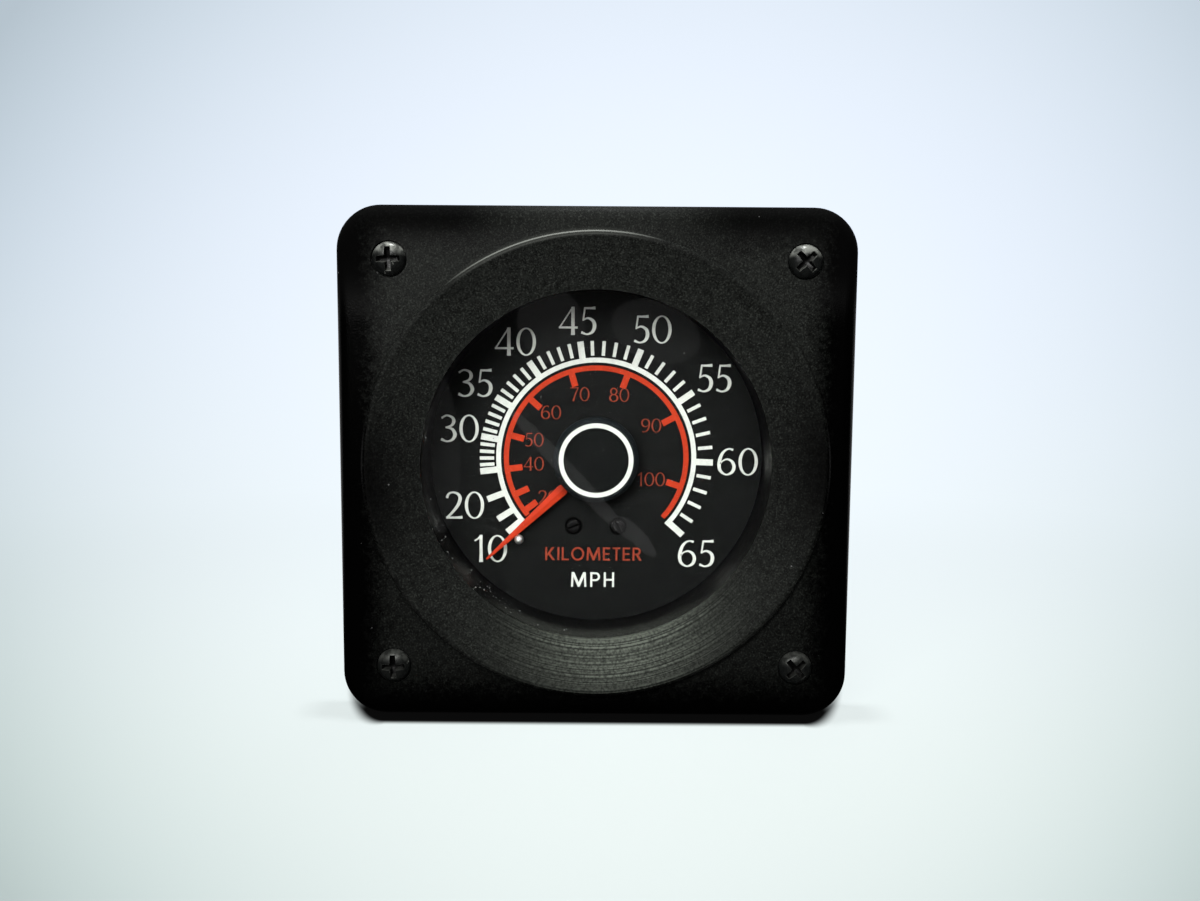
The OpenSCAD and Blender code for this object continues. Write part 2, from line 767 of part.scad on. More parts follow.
module hairspring() {
    color("#7f8ea6") facing() translate([0, 0, z_spring - spring_w / 2]) linear_extrude(spring_w)
        polygon(concat(
            [for (i = [0 : spiral_steps]) spiral_point(i / spiral_steps, 1)],
            [for (i = [spiral_steps : -1 : 0]) spiral_point(i / spiral_steps, -1)]));
}

module spring_collet() {
    color("#c4ac63") facing() ring(arbor_r, spring_in_r - strip_t / 2,
        z_spring - collet_l / 2, z_spring + collet_l / 2);
}

module spring_stud() {
    color("#c4ac63") facing() rotate([0, 0, spring_end_dir])
        translate([spring_r + strip_t / 2 + spring_stud_r, 0, 0])
            rod(spring_stud_r, z_spring - collet_l / 2, z_gap_front);
}

module sector_gear() {
    pitch_a = 360 / wheel_teeth;
    root_r = wheel_pitch_r - 1.1 * gear_module;
    rim_r = root_r - rim_w;
    first = sector_dir + 180 + pitch_a * (0.5 - teeth_behind);
    color("#cdb46a") facing() translate([pivot[0], pivot[1], z_sector_rear]) linear_extrude(sector_t)
        difference() {
            union() {
                polygon(concat(
                    [for (k = [-teeth_behind : teeth_ahead - 1]) each tooth(
                        sector_dir + 180 + pitch_a * (k + 0.5), wheel_pitch_r, wheel_teeth)],
                    [for (i = [0 : 16]) let (a = sector_last + (first - sector_last) * i / 16)
                        rim_r * [cos(a), sin(a)]]));
                for (a = [first + arm_inset, (first + sector_last) / 2, sector_last - arm_inset])
                    rotate(a) translate([0, -arm_w / 2]) square([rim_r + rim_w / 2, arm_w]);
                rotate(tail_dir) translate([0, -tail_w / 2]) square([tail_l, tail_w]);
                rotate(tail_dir) translate([tail_l, 0]) circle(eye_r);
                circle(sector_hub_r);
            }
            circle(sector_arbor_r);
            rotate(tail_dir) translate([tail_l, 0]) circle(pin_r);
        }
}

module sector_arbor() {
    color("#c9ccd0") facing() translate([pivot[0], pivot[1], 0]) {
        rod(sector_arbor_r, z_rear_plate + arbor_play, z_front_plate - arbor_play);
        rod(sector_arbor_r + arbor_collar_w, z_sector_top, z_sector_top + arbor_collar_l);
        rod(sector_arbor_r + arbor_collar_w, z_sector_rear - arbor_collar_l, z_sector_rear);
    }
}

module tail_pin() {
    color("#c9ccd0") facing() translate([tail_at[0], tail_at[1], 0]) {
        rod(pin_r, z_sector_rear - pin_end, z_link_top + pin_gap + eps);
        rod(pin_r + pin_head_w, z_link_top + pin_gap, z_link_top + pin_gap + pin_head_t);
    }
}

module link() {
    color("#cdb46a") facing() translate([tail_at[0], tail_at[1], 0]) rotate([0, 0, link_dir]) difference() {
        union() {
            rod(eye_r, z_link, z_link_top);
            translate([link_l, 0, 0]) rod(eye_r, z_link, z_link_top);
            translate([0, -link_w / 2, z_link]) cube([link_l, link_w, link_t]);
        }
        rod(pin_r + run_fit, z_link - 1, z_link_top + 1);
        translate([link_l, 0, 0]) rod(pin_r + open_fit, z_link - 1, z_link_top + 1);
    }
}

module tube_section(w, t) {
    square([t, w - t], center = true);
    for (side = [-1, 1]) translate([0, side * (w - t) / 2]) circle(t / 2);
}

module tip_lug() {
    cap = [tube_t + 2 * tip_cap_wall, tip_cap_l, tube_w + 2 * tip_cap_wall];
    color("#c4ac63") facing() {
        rotate([0, 0, tube_tip_dir])
            translate([tube_r - cap[0] / 2, -cap[1], z_tube - cap[2] / 2]) cube(cap);
        difference() {
            union() {
                translate(tip_pin_at) rod(eye_r, z_lug, z_lug + lug_t);
                cap_dir = tube_tip_dir - asin(tip_cap_l / 2 / tube_r);
                run = tube_r * [cos(cap_dir), sin(cap_dir)] - tip_pin_at;
                translate(tip_pin_at) rotate([0, 0, atan2(run[1], run[0])])
                    translate([0, -lug_w / 2, z_lug]) cube([norm(run), lug_w, lug_t]);
            }
            translate(tip_pin_at) rod(pin_r, z_lug - 1, z_lug + lug_t + 1);
        }
    }
}

module tip_pin() {
    color("#c9ccd0") facing() translate(tip_pin_at) {
        rod(pin_r, z_link - pin_end, z_lug + lug_t);
        rod(pin_r + pin_head_w, z_lug + lug_t, z_lug + lug_t + pin_head_t);
    }
}

module bourdon_tube() {
    buried = asin(bury / tube_r);
    color("#b98a3c") facing() translate([0, 0, z_tube]) rotate([0, 0, tube_tip_dir])
        rotate_extrude(angle = arc_sweep + buried) translate([tube_r, 0]) difference() {
            tube_section(tube_w, tube_t);
            tube_section(tube_w - 2 * tube_wall, tube_t - 2 * tube_wall);
        }
}

module bourdon_socket() {
    buried_dir = tube_tip_dir + arc_sweep + asin(bury / tube_r);
    way_end = tube_r * [cos(buried_dir), sin(buried_dir)] + [0, inlet_drop];
    way_dir = atan2(way_end[1], way_end[0]);
    way_l = norm(way_end);
    color("#c9b063") facing() difference() {
        union() {
            translate([-socket_w / 2, socket_bottom, z_gap_rear])
                cube([socket_w, socket_top - socket_bottom, plate_gap]);
            translate([0, -inlet_drop, 0]) {
                rod(stem_boss_r, z_shoulder, z_gap_rear + 1);
                rod(stem_r, z_shoulder - stem_l, z_shoulder + 1);
            }
        }
        translate([0, -inlet_drop, 0]) rod(way_r, z_shoulder - stem_l - 1, z_tube);
        translate([0, -inlet_drop, z_tube]) rotate([0, 90, way_dir]) cylinder(r = cross_way_r, h = way_l);
        translate([0, -inlet_drop, 0])
            rod(nipple_base_r, z_shoulder - stem_l - 1, z_shoulder - stem_l + nipple_thread_l);
        mirrored_x(post_x, dial_screw_y)
            rod(dial_screw_r - thread_d, z_gap_front - dial_screw_bite - hole_spare, z_gap_front + 1);
        mirrored_x(post_x, movement_screw_y)
            rod(movement_screw_r - thread_d, z_gap_front - movement_screw_bite - hole_spare, z_gap_front + 1);
        mirrored_x(post_x, rear_screw_y)
            rod(movement_screw_r - thread_d, z_gap_rear - 1, z_gap_rear + movement_screw_bite + hole_spare);
        translate([pivot[0], pivot[1], z_sector_rear - slot_room])
            rotate([0, 0, sector_last - arm_inset + sector_range]) translate([0, -pivot_d, 0])
                cube([pivot_d, pivot_d + arm_w / 2 + slot_room, sector_t + 2 * slot_room]);
    }
}

module inlet_seal() {
    color("#202124") facing() translate([0, -inlet_drop, 0])
        ring(stem_r + nest_fit, stem_boss_r, z_case_in, z_shoulder);
}

module inlet_washer() {
    color("#b7babd") facing() translate([0, -inlet_drop, 0])
        ring(stem_r + washer_room, washer_r, z_case_out - washer_t, z_case_out);
}

module inlet_nut() {
    color("#c9b063") facing() translate([0, -inlet_drop, z_case_out - washer_t - nut_t]) difference() {
        cylinder(r = nut_w / 2 / cos(30), h = nut_t, $fn = 6);
        translate([0, 0, -1]) cylinder(r = stem_r, h = nut_t + 2);
    }
}

module hose_nipple() {
    top = z_shoulder - stem_l;
    neck = top - nipple_hex_t - nipple_neck;
    color("#c9b063") facing() translate([0, -inlet_drop, 0]) {
        difference() {
            union() {
                translate([0, 0, top - nipple_hex_t])
                    cylinder(r = nipple_hex_w / 2 / cos(30), h = nipple_hex_t, $fn = 6);
                rod(nipple_base_r, top - eps, top + nipple_thread_l);
                rotate_extrude() polygon(concat(
                    [[0, top - nipple_hex_t + eps], [nipple_base_r, top - nipple_hex_t + eps]],
                    [for (i = [0 : barbs - 1]) let (z = neck - i * barb_pitch)
                        each [[nipple_base_r, z], [barb_r, z], [barb_r, z - barb_land],
                            [nipple_base_r, z - barb_pitch + barb_step]]],
                    [[nipple_base_r - 0.3, neck - barbs * barb_pitch], [0, neck - barbs * barb_pitch]]));
            }
            rod(nipple_bore, neck - barbs * barb_pitch - 1, top + nipple_thread_l + 1);
        }
    }
}

module mounting_studs() {
    color("#b7babd") facing() mirrored_x(stud_pitch / 2, 0) {
        rod(stud_head_r, z_case_in, z_case_in + stud_head_t);
        rod(stud_shank_r, z_case_out, z_case_in + eps);
        threaded_end(stud_r, z_case_out - stud_len, z_case_out);
    }
}

module lamp_socket() {
    rear = z_case_out - lamp_flange_t - lamp_body_l;
    color("#2a2b2e") facing() translate(lamp_at) difference() {
        union() {
            rod(lamp_hole_r - lamp_fit, z_case_out - eps, z_case_in + lamp_plug_l);
            rod(lamp_flange_r, z_case_out - lamp_flange_t, z_case_out);
            rod(lamp_body_r, rear, z_case_out - lamp_flange_t + eps);
        }
        rod(bulb_r, z_case_in, z_case_in + lamp_plug_l + 1);
        mirrored_x(blade_gap / 2, 0) translate([-blade_t / 2, -blade_w / 2, rear - 1])
            cube([blade_t, blade_w, blade_seat + 1]);
    }
}

module lamp_bulb() {
    tip = z_case_in + lamp_plug_l + bulb_len;
    color([1, 0.97, 0.85, 0.5]) facing() translate(lamp_at) {
        rod(bulb_r, z_case_in, tip - bulb_r);
        translate([0, 0, tip - bulb_r]) sphere(bulb_r);
    }
}

module lamp_terminals() {
    rear = z_case_out - lamp_flange_t - lamp_body_l;
    color("#c8cacc") facing() translate(lamp_at) mirrored_x(blade_gap / 2, 0)
        translate([-blade_t / 2, -blade_w / 2, rear - blade_l])
            cube([blade_t, blade_w, blade_l + blade_seat]);
}

bezel();
bezel_screws();
lens();
lens_seal();
panel_gasket();
case();
dial();
mph_scale();
kmh_scale();
dial_screws();
dial_posts();
stop_pin();
pointer_blade();
pointer_boss();
hub_cap();
hub_ring();
pinion_arbor();
arbor_bushes();
front_plate();
rear_plate();
plate_pillars();
movement_screws();
hairspring();
spring_collet();
spring_stud();
sector_gear();
sector_arbor();
tail_pin();
link();
tip_lug();
tip_pin();
bourdon_tube();
bourdon_socket();
inlet_seal();
inlet_washer();
inlet_nut();
hose_nipple();
mounting_studs();
lamp_socket();
lamp_bulb();
lamp_terminals();
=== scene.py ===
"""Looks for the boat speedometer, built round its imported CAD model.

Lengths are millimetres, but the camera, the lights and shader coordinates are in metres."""

import functools
import math
import random

import bpy
from mathutils import Matrix, Vector


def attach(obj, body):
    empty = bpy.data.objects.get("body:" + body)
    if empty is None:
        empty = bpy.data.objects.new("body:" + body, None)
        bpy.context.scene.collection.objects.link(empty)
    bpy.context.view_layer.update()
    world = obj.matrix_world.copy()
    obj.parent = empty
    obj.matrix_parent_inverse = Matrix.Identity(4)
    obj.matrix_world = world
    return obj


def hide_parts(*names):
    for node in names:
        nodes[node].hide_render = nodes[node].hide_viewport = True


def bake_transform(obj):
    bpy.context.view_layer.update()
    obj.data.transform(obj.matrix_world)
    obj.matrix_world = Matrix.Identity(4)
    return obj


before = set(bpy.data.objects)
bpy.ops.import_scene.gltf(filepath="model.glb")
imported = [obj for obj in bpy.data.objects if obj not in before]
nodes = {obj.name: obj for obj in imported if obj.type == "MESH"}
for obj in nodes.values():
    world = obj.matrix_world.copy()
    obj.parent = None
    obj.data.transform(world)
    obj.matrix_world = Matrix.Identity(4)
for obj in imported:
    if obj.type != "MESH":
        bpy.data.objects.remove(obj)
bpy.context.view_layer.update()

MM = 0.001
FLOOR_Z = -57.7
LENS_FRONT_Y = -8.4
PRINT_MIDDLE_Y, PRINT_THICKNESS = 9.55, 0.1
BEZEL_SCREW_OFFSET = 45.7
DIAL_SCREW_PLACES = ((-5.4, -16.6, 20), (5.4, -16.6, -62))
RING_LIP_RADIUS = 51.98
CAMERA_PLACE = (0.0009, -0.254, 0.0298)
CAMERA_DOWN, CAMERA_ROLL = 6.08, 0.40  # degrees


# Tools of the bench

def activate(piece):
    """Makes the piece the active one and the only one selected."""
    bpy.ops.object.select_all(action="DESELECT")
    piece.select_set(True)
    bpy.context.view_layer.objects.active = piece


def add_object(name, data):
    made = bpy.data.objects.new(name, data)
    bpy.context.collection.objects.link(made)
    return made


def edit(piece, step):
    """Runs one editing step on all of a piece's mesh."""
    activate(piece)
    bpy.ops.object.mode_set(mode="EDIT")
    bpy.ops.mesh.select_all(action="SELECT")
    step()
    bpy.ops.object.mode_set(mode="OBJECT")


def modify(piece, kind, **settings):
    """Adds a modifier and applies it."""
    activate(piece)
    modifier = piece.modifiers.new(kind.lower(), kind)
    for name, value in settings.items():
        setattr(modifier, name, value)
    bpy.ops.object.modifier_apply(modifier=modifier.name)


def combine(piece, other, operation="UNION"):
    """Joins other to the piece, or cuts it away, or keeps what both hold."""
    modify(piece, "BOOLEAN", object=other, operation=operation, solver="EXACT")
    bpy.data.objects.remove(other)


def settle(piece):
    """Puts the piece's place into its mesh."""
    activate(piece)
    bpy.ops.object.transform_apply(location=True, rotation=True, scale=True)


def smooth(piece, degrees=32):
    activate(piece)
    bpy.ops.object.shade_smooth_by_angle(angle=math.radians(degrees))


def soften(piece, width, degrees=40):
    """Rounds off the edges that turn by more than degrees."""
    modify(piece, "BEVEL", width=width * MM, segments=2, limit_method="ANGLE", angle_limit=math.radians(degrees))


def join(pieces, name):
    activate(pieces[0])
    for p in pieces:
        p.select_set(True)
    bpy.ops.object.join()
    whole = bpy.context.object
    whole.name = whole.data.name = name
    return whole


def copies(master, places, name):
    """One copy of the master at each (x, z, turn), joined; the master goes away."""
    made = []
    for x, z, turn in places:
        copy = add_object(master.name, master.data.copy())
        copy.rotation_euler = (0, -math.radians(turn), 0)
        copy.location = (x * MM, 0, z * MM)
        settle(copy)
        made.append(copy)
    bpy.data.objects.remove(master)
    return join(made, name)


def tidy_shell():
    bpy.ops.mesh.select_all(action="SELECT")
    bpy.ops.mesh.remove_doubles(threshold=1e-6)
    bpy.ops.mesh.normals_make_consistent(inside=False)


def clear_slivers():
    bpy.ops.mesh.dissolve_degenerate(threshold=1e-6)
    tidy_shell()


def profile_line(name, profile):
    """An open line through points of (radius, depth)."""
    mesh = bpy.data.meshes.new(name)
    mesh.from_pydata([(r * MM, y * MM, 0) for r, y in profile],
                     [(i, i + 1) for i in range(len(profile) - 1)], [])
    return add_object(name, mesh)


def lathe(name, profile, at=(0, 0), steps=64):
    """Spins a profile round an axis that runs front to back through (x, z)."""
    piece = profile_line(name, profile)

    def spin():
        bpy.ops.mesh.spin(steps=steps, angle=2 * math.pi, center=(0, 0, 0), axis=(0, 1, 0))
        tidy_shell()

    edit(piece, spin)
    piece.location = (at[0] * MM, 0, at[1] * MM)
    settle(piece)
    return piece


def block(name, low, high):
    """A rectangular bar between two corners, to be shaped further."""
    bpy.ops.mesh.primitive_cube_add(size=1, location=[(a + b) / 2 * MM for a, b in zip(low, high)])
    bar = bpy.context.object
    bar.name = bar.data.name = name
    bar.scale = [(b - a) * MM for a, b in zip(low, high)]
    settle(bar)
    return bar


def hexagon(name, across, y0, y1, at):
    """A hexagon bar with the corners of both faces turned off at 30 degrees."""
    bpy.ops.mesh.primitive_cylinder_add(vertices=6, radius=across / math.sqrt(3) * MM, depth=(y1 - y0) * MM,
                                        location=(at[0] * MM, (y0 + y1) / 2 * MM, at[1] * MM),
                                        rotation=(math.pi / 2, 0, 0))
    nut = bpy.context.object
    nut.name = nut.data.name = name
    settle(nut)
    slope = math.tan(math.radians(30))
    edge = across / 2 * 0.95
    corner = across / math.sqrt(3) + 0.1
    rise = (corner - edge) * slope
    past = 0.5
    inner = edge - past / slope
    turned = lathe("turned_blank", [(0, y0 - past), (inner, y0 - past), (corner, y0 + rise), (corner, y1 - rise),
                                    (inner, y1 + past), (0, y1 + past)], at)
    combine(nut, turned, "INTERSECT")
    return nut


def thread(name, crest, root, pitch, y0, y1, at, chamfer=0.0, steps=24):
    """A rod with a real screw thread from depth y0 to y1, its far end turned down by chamfer."""
    turns = math.ceil((y1 - y0) / pitch) + 3
    start = y0 - 1.53 * pitch  # an odd start, so that the cuts at y0 and y1 miss the tooth's corners
    tooth = [(root, 0), (root, 0.12), (crest, 0.44), (crest, 0.56), (root, 0.88), (root, 1)]
    rod = profile_line(name, [(r, start + s * pitch) for r, s in tooth])
    modify(rod, "SCREW", axis="Y", screw_offset=pitch * MM, iterations=turns, steps=steps,
           render_steps=steps, use_merge_vertices=True, merge_threshold=1e-7)

    def trim():
        tidy_shell()
        for depth, side in ((y0, -1), (y1, 1)):
            bpy.ops.mesh.select_all(action="SELECT")
            bpy.ops.mesh.bisect(plane_co=(0, depth * MM, 0), plane_no=(0, side, 0), use_fill=True,
                                clear_outer=True, threshold=1e-7)
        tidy_shell()

    edit(rod, trim)
    for v in rod.data.vertices:
        limit = crest - max(0.0, v.co.y / MM - (y1 - chamfer))
        r = math.hypot(v.co.x, v.co.z) / MM
        if chamfer and r > limit:
            v.co.x *= limit / r
            v.co.z *= limit / r
    rod.location = (at[0] * MM, 0, at[1] * MM)
    settle(rod)
    return rod


def fit(piece, slot, *stands_for, body="housing", finish=None):
    """Gives a finished piece its material, its body and the CAD nodes that it stands for."""
    piece.data.materials.clear()
    piece.data.materials.append(finishes[finish or slot])
    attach(piece, body)
    if stands_for:
        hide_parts(*stands_for)


# Shader nodes. Numbers and other nodes' outputs are given alike, and are added to the tree they come from.

def feed(node, inputs):
    """Sets a node's inputs, or links them; labels may have _ for spaces."""
    for key, value in inputs.items():
        socket = node.inputs[key.replace("_", " ") if isinstance(key, str) else key]
        if isinstance(value, bpy.types.NodeSocket):
            node.id_data.links.new(value, socket)
        else:
            socket.default_value = value


def wire(tree, kind, inputs=None, **settings):
    """Adds a shader node."""
    made = tree.nodes.new("ShaderNode" + kind)
    for name, value in settings.items():
        setattr(made, name, value)
    feed(made, inputs or {})
    return made


def maths(operation, *values):
    """One sum of numbers and outputs, of which at least one is an output."""
    tree = next(v.id_data for v in values if isinstance(v, bpy.types.NodeSocket))
    return wire(tree, "Math", dict(enumerate(values)), operation=operation).outputs[0]


def times(*values):
    return functools.reduce(functools.partial(maths, "MULTIPLY"), values)


def plus(*values):
    return functools.reduce(functools.partial(maths, "ADD"), values)


def most(*values):
    return functools.reduce(functools.partial(maths, "MAXIMUM"), values)


def minus(first, second):
    return maths("SUBTRACT", first, second)


def unsigned(value):
    return maths("ABSOLUTE", value)


def ramp(value, low, high, out_low=0.0, out_high=1.0):
    """Carries value from the range low..high to out_low..out_high, with soft ends."""
    return wire(value.id_data, "MapRange", {0: value, 1: low, 2: high, 3: out_low, 4: out_high},
                interpolation_type="SMOOTHSTEP").outputs[0]


def blend(factor, first, second):
    return wire(factor.id_data, "Mix", {0: factor, 2: first, 3: second}).outputs[0]


def blend_colour(factor, first, second):
    return wire(factor.id_data, "Mix", {0: factor, 6: first, 7: second}, data_type="RGBA").outputs[2]


def blend_shader(factor, first, second):
    return wire(factor.id_data, "MixShader", {0: factor, 1: first, 2: second}).outputs[0]


def split(vector):
    return wire(vector.id_data, "SeparateXYZ", {0: vector}).outputs


def vector_maths(operation, *values):
    return wire(values[0].id_data, "VectorMath", dict(enumerate(values)), operation=operation).outputs


def dot(first, second):
    return vector_maths("DOT_PRODUCT", first, second)["Value"]


def unit(vector):
    return vector_maths("NORMALIZE", vector)[0]


# Surface effects, each built once and used by several finishes

def effect(name, inputs, outputs):
    """A new node group: inputs are (label, value) numbers or a (label, None) vector, outputs are
    (label, kind)."""
    tree = bpy.data.node_groups.new(name, "ShaderNodeTree")
    for label, value in inputs:
        kind = "NodeSocketVector" if value is None else "NodeSocketFloat"
        socket = tree.interface.new_socket(name=label, in_out="INPUT", socket_type=kind)
        if value is not None:
            socket.default_value = value
    for label, kind in outputs:
        tree.interface.new_socket(name=label, in_out="OUTPUT", socket_type="NodeSocket" + kind)
    return tree, tree.nodes.new("NodeGroupInput").outputs, tree.nodes.new("NodeGroupOutput")


def apply_effect(tree, group, **inputs):
    """Places an effect in a material with its own values."""
    return wire(tree, "Group", inputs, node_tree=group).outputs


def piece_coordinates(tree):
    return wire(tree, "TexCoord").outputs["Object"]


def noise(place, size, detail=2.0, roughness=0.55):
    """Noise whose clumps are about size millimetres."""
    scale = wire(place.id_data, "Math", {0: 1000.0, 1: size}, operation="DIVIDE").outputs[0]
    return wire(place.id_data, "TexNoise", {"Vector": place, "Scale": scale, "Detail": detail,
                                            "Roughness": roughness}).outputs[0]


def axis_radius(x, z):
    """Millimetres from the dial's axis."""
    return times(maths("SQRT", plus(times(x, x), times(z, z))), 1000.0)


def make_mottle():
    """Cloudy variation with a finer grain in it."""
    tree, given, result = effect("mottle", [("Size", 1.0), ("Grain Size", 0.2)],
                                 [("Cloud", "Float"), ("Grain", "Float")])
    place = piece_coordinates(tree)
    feed(result, {"Cloud": noise(place, given["Size"], 4.0, 0.6), "Grain": noise(place, given["Grain Size"])})
    return tree


def make_edge_wear():
    """A mask along sharp edges, broken up by noise."""
    tree, given, result = effect("edge_wear", [("Width", 0.3), ("Amount", 0.6)], [("Mask", "Float")])
    rounded = wire(tree, "Bevel", {"Radius": times(given["Width"], MM)}, samples=4)
    flat = wire(tree, "NewGeometry").outputs["Normal"]
    turn = minus(1.0, dot(rounded.outputs[0], flat))
    rub = noise(piece_coordinates(tree), 1.1, 3.0)
    feed(result, {"Mask": times(ramp(turn, 0.02, 0.2), ramp(rub, 0.35, 0.7), given["Amount"])})
    return tree


def make_dust():
    """Scattered small specks."""
    tree, given, result = effect("dust", [("Spacing", 2.0), ("Share", 0.2), ("Size", 0.12)], [("Mask", "Float")])
    cells = wire(tree, "TexVoronoi", {"Vector": piece_coordinates(tree),
                                      "Scale": maths("DIVIDE", 1000.0, given["Spacing"])}).outputs
    pick = wire(tree, "SeparateColor", {0: cells["Color"]}).outputs
    speck = maths("LESS_THAN", cells["Distance"], times(pick[1], given["Size"]))
    chosen = maths("LESS_THAN", pick[0], given["Share"])
    feed(result, {"Mask": times(speck, chosen)})
    return tree


def make_turned_lines():
    """Fine tool lines round the dial's axis, inside a radius."""
    tree, given, result = effect("turned_lines", [("Pitch", 0.25), ("Outer", 60.0)],
                                 [("Lines", "Float"), ("Inside", "Float")])
    x, _, z = split(piece_coordinates(tree))
    radius = axis_radius(x, z)
    lines = wire(tree, "TexNoise", {"W": maths("DIVIDE", radius, given["Pitch"]), "Scale": 1.0,
                                    "Detail": 3.0, "Roughness": 0.7}, noise_dimensions="1D").outputs[0]
    feed(result, {"Lines": lines, "Inside": maths("LESS_THAN", radius, given["Outer"])})
    return tree


MOTTLE, EDGE_WEAR, DUST, TURNED_LINES = make_mottle(), make_edge_wear(), make_dust(), make_turned_lines()


def grey(level):
    return (level, level, level, 1.0)


def brighter(colour, gain):
    return tuple(min(1.0, c * gain) for c in colour[:3]) + (1.0,)


def new_material(name, **sockets):
    """A Principled material; sockets are its uniform values."""
    material = bpy.data.materials.new(name)
    material.use_nodes = True
    shader = material.node_tree.nodes["Principled BSDF"]
    feed(shader, sockets)
    return material, material.node_tree, shader


def surface(shader, colour, roughness, relief, strength, depth):
    """Links what varies over a material's surface; relief stands up by depth millimetres at most."""
    raised = wire(shader.id_data, "Bump", {"Strength": strength, "Distance": depth * MM, "Height": relief})
    feed(shader, {"Base Color": colour, "Roughness": roughness, "Normal": raised.outputs[0]})


# Finishes

def black_plastic(name, dark, pale, rough, size=1.4, grain=0.45, wear=0.25, worn=grey(0.03), specular=0.25,
                  relief=0.4, dust=0.03, rim=0.0):
    """Moulded or painted black: cloudy colour, fine grain, rubbed edges and a little dust. With rim, the
    part beyond that radius from the dial's axis is painted a lighter, bluer grey: a painted sheen on a bevelled
    edge."""
    material, tree, shader = new_material(name, Specular_IOR_Level=specular)
    cloud, fine = apply_effect(tree, MOTTLE, Size=size, Grain_Size=grain)
    mixed = plus(times(cloud, 0.5), times(fine, 0.5))
    colour = blend_colour(ramp(mixed, 0.35, 0.65), dark, pale)
    if rim:
        # painted sheen: the bevelled edge beyond rim is a lighter, bluer grey
        x, _, z = split(piece_coordinates(tree))
        beyond = ramp(axis_radius(x, z), rim, rim + 0.4, 0.0, 0.85)
        colour = blend_colour(beyond, colour, (0.0085, 0.0115, 0.0128, 1))
    if wear:
        colour = blend_colour(apply_effect(tree, EDGE_WEAR, Width=0.3, Amount=wear)[0], colour, worn)
    colour = blend_colour(apply_effect(tree, DUST, Spacing=2.6, Share=dust)[0], colour, grey(0.12))
    surface(shader, colour, ramp(mixed, 0.3, 0.7, rough - 0.08, rough + 0.08), fine, relief, 0.05)
    return material


